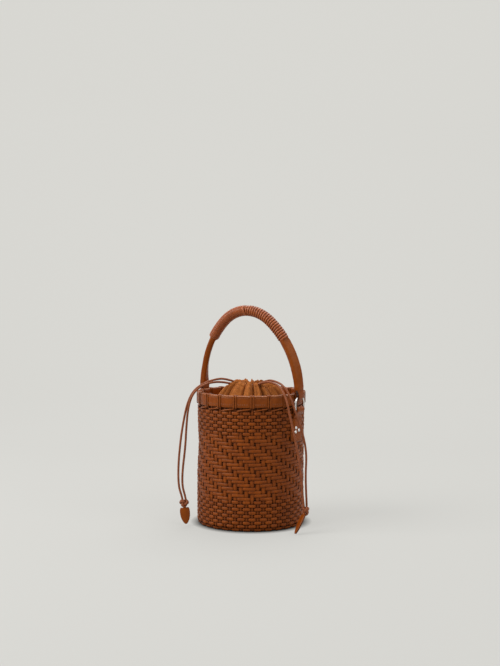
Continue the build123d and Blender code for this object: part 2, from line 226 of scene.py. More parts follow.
def smooth(piece: Piece, degrees: float = 40.0) -> Piece:
    """Shade a piece smooth, with edges sharper than an angle kept crisp."""
    activate(piece)
    bpy.ops.object.shade_smooth_by_angle(angle=math.radians(degrees))
    return piece


def join(pieces: Sequence[Piece], name: str) -> Piece:
    """Join pieces into one.

    Args:
        pieces: The pieces, of which the first keeps its object.
        name: The joined piece's name.
    Returns:
        The joined piece.
    """
    deselect()
    for piece in pieces:
        piece.select_set(True)
    bpy.context.view_layer.objects.active = pieces[0]
    if len(pieces) > 1:
        bpy.ops.object.join()
    joined = bpy.context.object
    joined.name = name
    joined.data.name = name
    return joined


def copy_turned(piece: Piece, degrees: float, lift: float = 0.0) -> Piece:
    """Copy a piece with its own mesh, turned about the Z axis and lifted.

    Args:
        piece: The piece to copy.
        degrees: The turn about Z.
        lift: The rise along Z, in metres.
    Returns:
        The copy, with its place in its mesh.
    """
    twin = piece.copy()
    twin.data = piece.data.copy()
    bpy.context.collection.objects.link(twin)
    twin.data.transform(Matrix.Translation((0, 0, lift)) @ Matrix.Rotation(math.radians(degrees), 4, "Z"))
    return twin


def repeat(model: Piece, places: Iterable[Pair], name: str) -> Piece:
    """Copy a model to several places, drop the model and join the copies.

    Args:
        model: The piece to copy.
        places: The turn about Z in degrees and the lift in metres, for each copy.
        name: The joined piece's name.
    Returns:
        The joined piece.
    """
    copies = [copy_turned(model, turn, lift) for turn, lift in places]
    bpy.data.objects.remove(model)
    return join(copies, name)


def set_attribute(piece: Piece, name: str, values: Array) -> None:
    """Store one number per vertex, for the finish to read."""
    layer = piece.data.attributes.new(name, "FLOAT", "POINT")
    layer.data.foreach_set("value", values.astype(np.float32))


def shaped_grid(
    name: str,
    along: int,
    across: int,
    surface: Surface,
    closed_along: bool = False,
    closed_across: bool = False,
    cap: bool = False,
    marks: dict[str, Surface] | None = None,
) -> Piece:
    """Lay a grid over a formula, weld its seams and turn its faces outwards.

    Args:
        name: The piece's name.
        along: Faces along the first direction.
        across: Faces along the second direction.
        surface: Gives the points, in metres, for two arrays that run from 0 to 1.
        closed_along: The first direction comes back to its start.
        closed_across: The second direction comes back to its start.
        cap: Open ends are filled.
        marks: Formulas for numbers that the finish reads from the vertices.
    Returns:
        The shaped piece.
    """
    deselect()
    bpy.ops.mesh.primitive_grid_add(x_subdivisions=along, y_subdivisions=across, size=1)
    piece = bpy.context.object
    piece.name = name
    piece.data.name = name
    flat = np.empty(len(piece.data.vertices) * 3)
    piece.data.vertices.foreach_get("co", flat)
    flat = flat.reshape(-1, 3)
    u, v = flat[:, 0] + 0.5, flat[:, 1] + 0.5
    for mark, formula in (marks or {}).items():
        set_attribute(piece, mark, formula(u, v))
    piece.data.vertices.foreach_set("co", surface(u, v).astype(np.float64).ravel())
    piece.data.update()
    bpy.ops.object.mode_set(mode="EDIT")
    bpy.ops.mesh.select_all(action="SELECT")
    if closed_along or closed_across:
        bpy.ops.mesh.remove_doubles(threshold=1e-7)
    if cap:
        bpy.ops.mesh.select_all(action="DESELECT")
        bpy.ops.mesh.select_mode(type="EDGE")
        bpy.ops.mesh.select_non_manifold()
        bpy.ops.mesh.fill_holes(sides=0)
        bpy.ops.mesh.select_mode(type="VERT")
        bpy.ops.mesh.select_all(action="SELECT")
    bpy.ops.mesh.normals_make_consistent(inside=False)
    bpy.ops.object.mode_set(mode="OBJECT")
    return piece


def thicken(piece: Piece, thickness: float, offset: float = -1.0, bevel: float = 0.0) -> Piece:
    """Give a sheet its thickness, and round its edges.

    Args:
        piece: The sheet.
        thickness: Its thickness, in metres.
        offset: -1 grows inwards from the sheet, 1 outwards, 0 both ways.
        bevel: The radius of the rounded edges, in metres.
    Returns:
        The finished piece.
    """
    solid = piece.modifiers.new("thickness", "SOLIDIFY")
    solid.thickness = thickness
    solid.offset = offset
    if bevel:
        rounding = piece.modifiers.new("edges", "BEVEL")
        rounding.width = bevel
        rounding.segments = 2
        rounding.limit_method = "ANGLE"
        rounding.angle_limit = math.radians(50)
    return apply_modifiers(piece)


def unit(vectors: Array) -> Array:
    """Scale vectors to length one."""
    return vectors / np.maximum(np.linalg.norm(vectors, axis=-1, keepdims=True), 1e-12)


def stack(*axes: Array) -> Array:
    """Points from one array per axis."""
    return np.stack(axes, axis=-1)


def polar(radius: Array, turn: Array, height: Array) -> Array:
    """Points from a distance to the Z axis, a turn in radians and a height."""
    return stack(radius * np.cos(turn), radius * np.sin(turn), height)


def squared(wave: Array, power: float) -> Array:
    """A sine or cosine pushed out: a square wave at power 0, unchanged at power 1."""
    return np.sign(wave) * np.abs(wave) ** power


def hump(value: Array, centre: float, width: float) -> Array:
    """1 at a centre, falling softly to 0 away from it."""
    return np.exp(-(((value - centre) / width) ** 2))


def rising(value: Array, start: float, width: float) -> Array:
    """0 up to a start, rising evenly to 1 over a width."""
    return np.clip((value - start) / width, 0, 1)


def to_edge(u: Array, v: Array) -> Array:
    """How near a grid's edge a place is: 0 in the middle and 1 on the edge."""
    return np.maximum(np.abs(2 * u - 1), np.abs(2 * v - 1))


def shares_along(path: Array) -> Array:
    """How far along a path each of its points lies, from 0 to 1."""
    runs = np.concatenate([[0], np.cumsum(np.linalg.norm(np.diff(path, axis=0), axis=1))])
    return runs / runs[-1]


def on_path(share: Array, runs: Array, path: Array) -> Array:
    """Points on a flat path, a share of the way along it."""
    return stack(*(np.interp(share, runs, axis) for axis in path.T))


def arc(
    centre: Pair, radius: float, start: float, count: int, turn: float = math.pi, squash: float = 1.0
) -> list[Pair]:
    """Points on an arc in a plane.

    Args:
        centre: The arc's centre.
        radius: Its radius, in metres.
        start: The angle that it starts at, in radians.
        count: How many points it has.
        turn: The angle that it covers, in radians.
        squash: The share of the radius that it has upwards.
    Returns:
        The points, as pairs.
    """
    angles = np.linspace(start, start + turn, count)
    return [(centre[0] + radius * math.cos(a), centre[1] + radius * squash * math.sin(a)) for a in angles]


def stitch_section(u: Array, v: Array, radius: float, blunt: float = 0.04) -> tuple[Array, Array]:
    """The two offsets from a stitch's middle line, smaller towards its ends.

    Args:
        u: The place along the stitch, from 0 to 1.
        v: The place round it, from 0 to 1.
        radius: The thread's radius, in metres.
        blunt: How blunt the ends are.
    Returns:
        The offsets across and outwards.
    """
    swelling = radius * np.sqrt(np.clip(1 - (2 * u - 1) ** 2, blunt, 1))
    around = math.tau * v
    return swelling * np.cos(around), swelling * np.sin(around)


def noise(seed: int, turns: Array, waves: Iterable[int]) -> Array:
    """A smooth periodic unevenness round a circle.

    Args:
        seed: Chooses the pattern.
        turns: Positions, from 0 to 1 round the circle.
        waves: The waves per turn that are added up.
    Returns:
        Values of about -1 to 1.
    """
    rng = np.random.default_rng(seed)
    total = np.zeros_like(turns)
    count = 0
    for wave in waves:
        total += np.cos(math.tau * (wave * turns + rng.random())) * rng.uniform(0.6, 1.0)
        count += 1
    return total / math.sqrt(count)


# ---- Shader helpers ----
class Value:
    """A shader socket whose Python arithmetic adds Math nodes."""

    def __init__(self, shader: "Shader", socket: bpy.types.NodeSocket) -> None:
        """Wrap one output socket of a shader's node tree."""
        self.shader = shader
        self.socket = socket

    def _math(self, operation: str, *inputs: "Value | float") -> "Value":
        """Add one Math node on these inputs."""
        return self.shader.node("ShaderNodeMath", {"operation": operation}, dict(enumerate(inputs)))

    def __add__(self, other: "Value | float") -> "Value":
        """Sum."""
        return self._math("ADD", self, other)

    def __radd__(self, other: float) -> "Value":
        """Sum with a number on the left."""
        return self._math("ADD", other, self)

    def __sub__(self, other: "Value | float") -> "Value":
        """Difference."""
        return self._math("SUBTRACT", self, other)

    def __rsub__(self, other: float) -> "Value":
        """Difference from a number."""
        return self._math("SUBTRACT", other, self)

    def __mul__(self, other: "Value | float") -> "Value":
        """Product."""
        return self._math("MULTIPLY", self, other)

    def __rmul__(self, other: float) -> "Value":
        """Product with a number on the left."""
        return self._math("MULTIPLY", other, self)

    def power(self, exponent: float) -> "Value":
        """This value to a power."""
        return self._math("POWER", self, exponent)

    def clamp(self) -> "Value":
        """This value held between 0 and 1."""
        return self.shader.node("ShaderNodeClamp", {}, {0: self})


class Shader:
    """One material's node tree, built by calls."""

    def __init__(self, name: str) -> None:
        """Start an empty material with its output node."""
        self.material = bpy.data.materials.new(name)
        self.material.use_nodes = True
        self.tree = self.material.node_tree
        self.tree.nodes.clear()
        self.output = self.tree.nodes.new("ShaderNodeOutputMaterial")

    def node(self, kind: str, settings: dict, inputs: dict, output: int | str = 0) -> Value:
        """Add one node.

        Args:
            kind: The node's type.
            settings: Its properties, set first; "stops" fills a colour ramp.
            inputs: Values or links for its sockets, by name or number.
            output: Which of its outputs is wanted.
        Returns:
            That output.
        """
        made = self.tree.nodes.new(kind)
        for key, value in settings.items():
            if key == "stops":
                self._fill_ramp(made, value)
            else:
                setattr(made, key, value)
        for key, value in inputs.items():
            if isinstance(value, Value):
                self.tree.links.new(value.socket, made.inputs[key])
            else:
                made.inputs[key].default_value = value
        return Value(self, made.outputs[output])

    @staticmethod
    def _fill_ramp(ramp: bpy.types.Node, stops: Sequence[Pair]) -> None:
        """Give a colour ramp its grey stops."""
        elements = ramp.color_ramp.elements
        while len(elements) < len(stops):
            elements.new(0.5)
        for element, (place, grey) in zip(elements, stops):
            element.position = place
            element.color = (grey, grey, grey, 1)

    def place(self) -> Value:
        """Object coordinates."""
        return self.node("ShaderNodeTexCoord", {}, {}, "Object")

    def mark(self, name: str) -> Value:
        """A number stored on the vertices."""
        return self.node("ShaderNodeAttribute", {"attribute_name": name}, {}, "Fac")

    def near_axis(self, inner: float, outer: float) -> Value:
        """0 inside one distance from the Z axis and 1 outside another, both in metres."""
        ends = {0: self.place(), 1: (1, 1, 0)}
        flat = self.node("ShaderNodeVectorMath", {"operation": "MULTIPLY"}, ends)
        away = self.node("ShaderNodeVectorMath", {"operation": "LENGTH"}, {0: flat}, "Value")
        return ((away - inner) * (1 / (outer - inner))).clamp()

    def clouds(
        self, scale: float, detail: float = 3.0, rough: float = 0.55, stretch: Triple = (1, 1, 1)
    ) -> Value:
        """Soft noise.

        Args:
            scale: Features per metre.
            detail: Octaves.
            rough: How strong the fine octaves are.
            stretch: Scale along each axis.
        Returns:
            Values of about 0 to 1.
        """
        where = self.place()
        if stretch != (1, 1, 1):
            where = self.node("ShaderNodeMapping", {}, {"Vector": where, "Scale": stretch})
        settings = {"Vector": where, "Scale": scale, "Detail": detail, "Roughness": rough}
        return self.node("ShaderNodeTexNoise", {}, settings)

    def cells(self, scale: float, feature: str = "DISTANCE_TO_EDGE") -> Value:
        """Pebbled cells, for grain and pores."""
        inputs = {"Vector": self.place(), "Scale": scale}
        return self.node("ShaderNodeTexVoronoi", {"feature": feature}, inputs)

    def ramp(self, value: Value, *stops: Pair) -> Value:
        """Map a value through grey stops."""
        return self.node("ShaderNodeValToRGB", {"stops": stops}, {0: value})

    def mix(self, share: Value | float, first: Value | Colour, second: Value | Colour) -> Value:
        """Blend two colours."""
        inputs = {0: share}
        for key, colour in ((6, first), (7, second)):
            inputs[key] = colour if isinstance(colour, Value) else (*colour, 1)
        return self.node("ShaderNodeMix", {"data_type": "RGBA"}, inputs, 2)

    def bump(self, height: Value, strength: float, distance: float, under: Value | None = None) -> Value:
        """Turn a height into a normal.

        Args:
            height: The height.
            strength: How much of it shows.
            distance: The height of one unit, in metres.
            under: A coarser normal that this one lies on.
        Returns:
            The normal.
        """
        inputs = {"Strength": strength, "Distance": distance, "Height": height}
        if under is not None:
            inputs["Normal"] = under
        return self.node("ShaderNodeBump", {}, inputs)

    def finish(self, **sockets: Value | float | Colour) -> bpy.types.Material:
        """Close the tree with one Principled shader.

        Args:
            sockets: Its sockets, with underscores for spaces.
        Returns:
            The material.
        """
        inputs = {}
        for key, value in sockets.items():
            name = key.replace("_", " ")
            inputs[name] = (*value, 1) if isinstance(value, tuple) else value
        shader = self.node("ShaderNodeBsdfPrincipled", {}, inputs)
        self.tree.links.new(shader.socket, self.output.inputs[0])
        return self.material


# ---- Finishes ----
@dataclass(frozen=True)
class LeatherFinish:
    """Vegetable-tanned leather: fine pebbled grain, uneven dye, darker cut edges, and painted shade where it passes
    under other parts.
    """

    name: str
    light: Colour
    dark: Colour
    # The dark colour of the pores, which also paints the shade where a piece passes under others.
    pore_and_shade_colour: Colour
    roughness: float = 0.42
    grain: float = 900.0
    grain_depth: float = 0.00012
    mottle: float = 120.0
    shine: float = 0.26
    shine_tint: Colour = (1.0, 0.76, 0.54)
    # The vertex mark that darkens cut edges and paints shade where a piece passes under others; empty for none.
    edge_and_shade_mark: str = ""

    def material(self) -> bpy.types.Material:
        """Build the node tree and return the material."""
        shader = Shader(self.name)
        dye = shader.ramp(shader.clouds(self.mottle, 4.0, 0.6), (0.3, 0.0), (0.7, 1.0))
        colour = shader.mix(dye, self.dark, self.light)
        pores = shader.ramp(shader.cells(self.grain), (0.0, 0.0), (0.12, 1.0))
        colour = shader.mix((1 - pores) * 0.35, colour, self.pore_and_shade_colour)
        edge_and_shade_amount: Value | float = 0.0
        # Painted shade and darker cut edges: the vertex mark blends the colour towards the dark one.
        if self.edge_and_shade_mark:
            edge_and_shade_amount = shader.ramp(shader.mark(self.edge_and_shade_mark), (0.35, 0.0), (1.0, 1.0))
            colour = shader.mix(edge_and_shade_amount * 0.85, colour, self.pore_and_shade_colour)
        blotch = shader.clouds(self.mottle * 3.5, 3.0)
        fine = shader.clouds(self.grain * 2.6, 2.0)
        height = pores * 0.6 + blotch * 0.5 + fine * 0.25
        normal = shader.bump(height, 0.55, self.grain_depth)
        rough = self.roughness - 0.08 + blotch * 0.14 + (1 - pores) * 0.12 + edge_and_shade_amount * 0.3
        return shader.finish(
            Base_Color=colour,
            Roughness=rough,
            Normal=normal,
            Specular_IOR_Level=self.shine,
            Specular_Tint=self.shine_tint,
        )


@dataclass(frozen=True)
class SuedeFinish:
    """Brushed suede-like cloth: a short uneven nap with a soft sheen."""

    name: str
    light: Colour
    dark: Colour
    weave: float = 1000.0

    def material(self) -> bpy.types.Material:
        """Build the node tree and return the material."""
        shader = Shader(self.name)
        brushed = shader.ramp(shader.clouds(160.0, 4.0, 0.65), (0.32, 0.0), (0.68, 1.0))
        nap = shader.clouds(self.weave, 4.0, 0.75)
        specks = shader.ramp(nap, (0.38, 0.0), (0.62, 1.0))
        colour = shader.mix(brushed * 0.55 + specks * 0.45, self.dark, self.light)
        coarse = shader.bump(shader.clouds(420.0, 3.0, 0.6), 0.5, 0.0005)
        normal = shader.bump(nap, 0.7, 0.00035, coarse)
        return shader.finish(
            Base_Color=colour,
            Roughness=0.93 - nap * 0.08,
            Normal=normal,
            Sheen_Weight=0.35,
            Sheen_Roughness=0.5,
            Sheen_Tint=self.light,
            Specular_IOR_Level=0.2,
        )


@dataclass(frozen=True)
class MetalFinish:
    """Polished nickel with faint handling marks."""

    name: str
    colour: Colour = (0.80, 0.78, 0.75)
    roughness: float = 0.16

    def material(self) -> bpy.types.Material:
        """Build the node tree and return the material."""
        shader = Shader(self.name)
        smear = shader.clouds(260.0, 4.0, 0.6)
        scratch = shader.clouds(900.0, 2.0, 0.5, (1.0, 6.0, 1.0))
        colour = shader.mix(smear * 0.25, self.colour, tuple(channel * 0.8 for channel in self.colour))
        return shader.finish(
            Base_Color=colour,
            Metallic=1.0,
            Roughness=self.roughness + smear * 0.1,
            Normal=shader.bump(scratch, 0.15, 0.00005),
        )


@dataclass(frozen=True)
class ThreadFinish:
    """Waxed sewing thread with a tight twist."""

    name: str
    colour: Colour

    def material(self) -> bpy.types.Material:
        """Build the node tree and return the material."""
        shader = Shader(self.name)
        twist = shader.clouds(2400.0, 2.0, 0.6)
        colour = shader.mix(twist, tuple(channel * 0.6 for channel in self.colour), self.colour)
        normal = shader.bump(twist, 0.5, 0.0002)
        return shader.finish(Base_Color=colour, Roughness=0.6 + twist * 0.1, Normal=normal)


class Palette:
    """Every finish of the bag, made once."""

    def __init__(self) -> None:
        """Make the materials."""
        self.weave = LeatherFinish(
            "woven_strip_leather", (0.248, 0.050, 0.0009), (0.148, 0.027, 0.0007), (0.028, 0.004, 0.0006),
            roughness=0.42, edge_and_shade_mark="tucked",
        ).material()
        self.smooth = LeatherFinish(
            "smooth_leather", (0.235, 0.048, 0.0012), (0.165, 0.031, 0.0010), (0.044, 0.008, 0.001),
            roughness=0.38, grain=1100.0, grain_depth=0.00008, mottle=70.0, edge_and_shade_mark="tucked",
        ).material()
        self.lace = LeatherFinish(
            "lacing_leather", (0.235, 0.052, 0.0040), (0.150, 0.030, 0.0025), (0.036, 0.007, 0.002),
            roughness=0.34, grain=1300.0, grain_depth=0.00007, mottle=150.0, edge_and_shade_mark="tucked",
        ).material()
        # A lighter, redder copy of the lacing leather for the grip: its lighter colour is painted light, for the
        # stronger light that falls on the grip.
        self.grip = LeatherFinish(
            "grip_lacing_leather", (0.330, 0.074, 0.0120), (0.225, 0.046, 0.0065), (0.040, 0.008, 0.002),
            roughness=0.33, grain=1300.0, grain_depth=0.00006, mottle=150.0, shine=0.5,
            shine_tint=(1.0, 0.80, 0.70), edge_and_shade_mark="tucked",
        ).material()
        self.cord = LeatherFinish(
            "round_cord_leather", (0.255, 0.074, 0.0300), (0.165, 0.045, 0.0170), (0.050, 0.013, 0.006),
            roughness=0.42, grain=1400.0, grain_depth=0.00006, mottle=220.0,
        ).material()
        self.edge = LeatherFinish(
            "rolled_edge_leather", (0.270, 0.078, 0.0220), (0.190, 0.052, 0.0130), (0.060, 0.015, 0.006),
            roughness=0.36, grain=1300.0, grain_depth=0.00006, mottle=110.0,
        ).material()
        self.suede = SuedeFinish("pouch_suede", (0.360, 0.112, 0.0180), (0.160, 0.045, 0.0070)).material()
        self.metal = MetalFinish("polished_nickel").material()
        self.thread = ThreadFinish("waxed_thread", (0.240, 0.075, 0.0200)).material()


def dress(piece: Piece, material: bpy.types.Material) -> Piece:
    """Give a piece one material."""
    piece.data.materials.clear()
    piece.data.materials.append(material)
    return piece


def settle(piece: Piece, body: str, slot: str, *nodes: str) -> Piece:
    """Let a finished piece ride on its body and stand for its CAD nodes.

    Args:
        piece: The finished piece.
        body: The CAD body that it moves with.
        slot: The record's material slot.
        nodes: The CAD nodes that it replaces.
    Returns:
        The same piece.
    """
    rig.ride(piece, body)
    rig.slot(piece, slot)
    if nodes:
        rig.replaces(piece, *nodes)
    log.info("%s: %d faces on %s", piece.name, len(getattr(piece.data, "polygons", [])), body)
    return piece


# ---- Woven shell ----
class Weave(Enum):
    """How a row of strips passes the upright stakes: how many over, and how many under."""

    PLAIN = 1
    TWILL = 2


@dataclass
class WovenShell:
    """The wall: flat strips woven in rings round upright stakes, curling under at the base."""

    radius: float = 72.7 * MM
    corner: float = 3.2 * MM
    base_height: float = 1.35 * MM
    first_row: float = 160.2 * MM
    row_pitch: float = 4.63 * MM
    stakes: int = 60
    upper_plain_rows: int = 7
    twill_rows: int = 19
    lower_plain_rows: int = 10
    strip_width: float = 5.0 * MM
    plain_waist: float = 0.54
    twill_waist: float = 0.72
    strip_thickness: float = 1.9 * MM
    stake_width: float = 5.3 * MM
    plain_stake_share: float = 0.68
    stake_thickness: float = 1.4 * MM
    strip_wave: float = 1.2 * MM
    strip_edge: float = 0.85
    rise_start: float = 0.16
    dive_start: float = 0.44
    crossing: float = 0.40
    stake_wave: float = 0.45 * MM
    stake_edge: float = 0.7
    stake_top: float = 171.0 * MM
    slump: float = 1.6 * MM
    slump_side: float = 215.0
    dent: float = 1.7 * MM
    dent_height: float = 112.0 * MM
    dent_reach: float = 26.0 * MM
    faces_per_stake: int = 7
    faces_round: int = 8

    def profile(self, length: Array) -> tuple[Array, Array, Array]:
        """Follow the wall down from the first row, round the corner and in under the base.

        Args:
            length: Distances along the wall, in metres, negative above the first row.
        Returns:
            Points (radius, height), outward normals and downward tangents.
        """
        straight = self.first_row - self.base_height - self.corner
        arc = self.corner * math.pi / 2
        turn = np.clip((length - straight) / self.corner, 0, math.pi / 2)
        beyond = np.maximum(length - straight - arc, 0)
        radius = self.radius - self.corner + self.corner * np.cos(turn) - beyond
        height = self.base_height + self.corner - self.corner * np.sin(turn)
        height = np.where(length < straight, self.first_row - length, height)
        normal = stack(np.cos(turn), -np.sin(turn))
        tangent = stack(-np.sin(turn), -np.cos(turn))
        return stack(radius, height), normal, tangent

    def wander(self, turn: Array, height: Array) -> Array:
        """How far the hand-woven wall strays outwards from a true cylinder, in metres."""
        low = np.clip(1 - height / self.first_row, 0, 1)
        side = np.cos(turn - math.radians(self.slump_side))
        pressed = hump(height, self.dent_height, self.dent_reach) * np.clip(side, 0, 1) ** 2
        lean = self.slump * side * low * (1.4 - low) - self.dent * pressed
        return lean + 0.25 * MM * np.cos(3 * turn + 0.7)

    def relief(self, length: Array) -> Array:
        """How much of the weave's waviness is left: less under the base, where the bag stands."""
        straight = self.first_row - self.base_height - self.corner
        return 1 - 0.72 * rising(length, straight, self.corner * 1.3)

    def kind_of_row(self, row: int) -> Weave:
        """The weave of one row."""
        twill = self.upper_plain_rows <= row < self.upper_plain_rows + self.twill_rows
        return Weave.TWILL if twill else Weave.PLAIN

    def plainness(self, length: Array) -> Array:
        """How far a place down the wall is in plain weave: 1 in it, 0 in twill."""
        first, last = self.upper_plain_rows, self.upper_plain_rows + self.twill_rows
        return np.interp(length / self.row_pitch, [first - 1, first, last - 1, last], [1.0, 0.0, 0.0, 1.0])

    def strip_is_over(self, row: int, stake: Array) -> Array:
        """Whether a row's strip passes in front of a stake: 1 in front, -1 behind."""
        span = self.kind_of_row(row).value
        return np.where((stake - row) % (2 * span) < span, 1.0, -1.0)

    @staticmethod
    def ease(share: Array) -> Array:
        """A smooth step from 0 to 1."""
        share = np.clip(share, 0, 1)
        return share * share * (3 - 2 * share)

    def strip(self, row: int) -> Piece:
        """One ring of strip, narrow where it dives behind a stake and plump where it shows.

        Args:
            row: Counted from the top.
        Returns:
            The ring.
        """
        rng = np.random.default_rng(900 + row)
        plump = rng.uniform(0.93, 1.05, self.stakes)
        level = self.row_pitch * row
        waist = self.plain_waist if self.kind_of_row(row) is Weave.PLAIN else self.twill_waist

        def over(u: Array) -> Array:
            """1 where the strip is in front of the stakes and -1 where it is behind."""
            place = u * self.stakes
            left = np.floor(place + 1e-6).astype(int)
            first = self.strip_is_over(row, left % self.stakes)
            second = self.strip_is_over(row, (left + 1) % self.stakes)
            start = np.where(first > second, self.dive_start, self.rise_start)
            share = self.ease((place - left - start) / self.crossing)
            return first + (second - first) * share

        def surface(u: Array, v: Array) -> Array:
            """The points, in metres."""
            turn = math.tau * u
            lift = over(u)
            nearest = np.round(u * self.stakes).astype(int) % self.stakes
            shown = 0.5 + 0.5 * lift
            width = self.strip_width * (waist + (1 - waist) * shown**0.7) * plump[nearest]
            round_turn = math.tau * v
            sine, cosine = np.sin(round_turn), np.cos(round_turn)
            across = 0.5 * width * squared(cosine, self.strip_edge)
            sway = 0.22 * MM * noise(40 + row, u, (3, 7, 11, 23))
            length = level + sway
            point, normal, tangent = self.profile(length)
            relief = self.relief(length)
            out = self.strip_wave * lift * relief + 0.5 * self.strip_thickness * (0.55 + 0.45 * relief) * sine
            out = out + 0.12 * MM * relief * noise(240 + row, u, (5, 17, 31))
            place = point + normal * out[:, None] + tangent * across[:, None]
            return polar(place[:, 0] + self.wander(turn, place[:, 1]), turn, place[:, 1])

        def tucked(u: Array, v: Array) -> Array:
            """How dark each point is painted, from 0 to 1: painted shade towards the strip's edges and where it dives
            behind a stake, partly darker cut edges.
            """
            edge = np.cos(math.tau * v) ** 2
            return np.clip(1.05 * edge + 0.50 * np.clip(0.55 - over(u), 0, 1.5), 0, 1)

        faces = self.stakes * self.faces_per_stake
        marks = {"tucked": tucked}
        return shaped_grid(f"strip_{row}", faces, self.faces_round, surface, True, True, marks=marks)

    def stake(self, number: int) -> Piece:
        """One upright stake, behind the strips where they show and in front where they dive.

        Args:
            number: Counted round the bag.
        Returns:
            The stake, from under the rim band to the base panel.
        """
        rows = self.upper_plain_rows + self.twill_rows + self.lower_plain_rows
        top = self.first_row - self.stake_top
        bottom = self.row_pitch * (rows + 0.2)
        side = np.array([-self.strip_is_over(row, np.array([number]))[0] for row in range(rows)])
        side = np.concatenate([[0.0, 0.0], side, [0.0, 0.0]])
        angle = math.tau * number / self.stakes

        def lift_at(length: Array) -> Array:
            """1 where the stake is in front of the strips and -1 where it is behind."""
            place = np.clip(length / self.row_pitch + 2, 0, len(side) - 1.001)
            above = np.floor(place).astype(int)
            share = self.ease(place - above)
            return side[above] + (side[above + 1] - side[above]) * share

        def surface(u: Array, v: Array) -> Array:
            """The points, in metres."""
            length = top + (bottom - top) * u
            point, normal, _ = self.profile(length)
            relief = self.relief(length)
            lift = lift_at(length)
            round_turn = math.tau * v
            sine, cosine = np.sin(round_turn), np.cos(round_turn)
            width = self.stake_width * (0.97 + 0.06 * lift)
            width = width * (1 - (1 - self.plain_stake_share) * self.plainness(length))
            across = 0.5 * width * squared(cosine, self.stake_edge)
            across = across + 0.25 * MM * noise(500 + number, u * 0.9, (2, 5, 9))
            out = self.stake_wave * lift * relief + 0.5 * self.stake_thickness * sine
            place = point + normal * out[:, None]
            turn = angle + across / place[:, 0]
            return polar(place[:, 0] + self.wander(turn, place[:, 1]), turn, place[:, 1])

        def tucked(u: Array, v: Array) -> Array:
            """How dark each point is painted, from 0 to 1: painted shade where the stake runs behind the strips and, a
            little, in the plain weave, and darker cut edges.
            """
            length = top + (bottom - top) * u
            edge = np.abs(np.cos(math.tau * v)) ** 3
            sunk = 0.25 + 0.25 * self.plainness(length) + 0.4 * np.clip(0.6 - lift_at(length), 0, 1.5)
            return np.clip(sunk + 0.6 * edge, 0, 1)

        name, faces = f"stake_{number}", 3 * (rows + 3)
        return shaped_grid(name, faces, self.faces_round, surface, False, True, True, {"tucked": tucked})

    def build(self, palette: Palette) -> None:
        """Make the whole shell: three bands of rows, then the stakes."""
        pieces = []
        start = 0
        names = ("upper_plain", "twill", "lower_plain")
        for name, rows in zip(names, (self.upper_plain_rows, self.twill_rows, self.lower_plain_rows)):
            pieces.append(join([self.strip(row) for row in range(start, start + rows)], f"{name}_strips"))
            start += rows
        pieces.append(join([self.stake(number) for number in range(self.stakes)], "upright_stakes"))
        for piece in pieces:
            settle(smooth(dress(piece, palette.weave), 80), "bag", "woven_leather", "woven_wall")


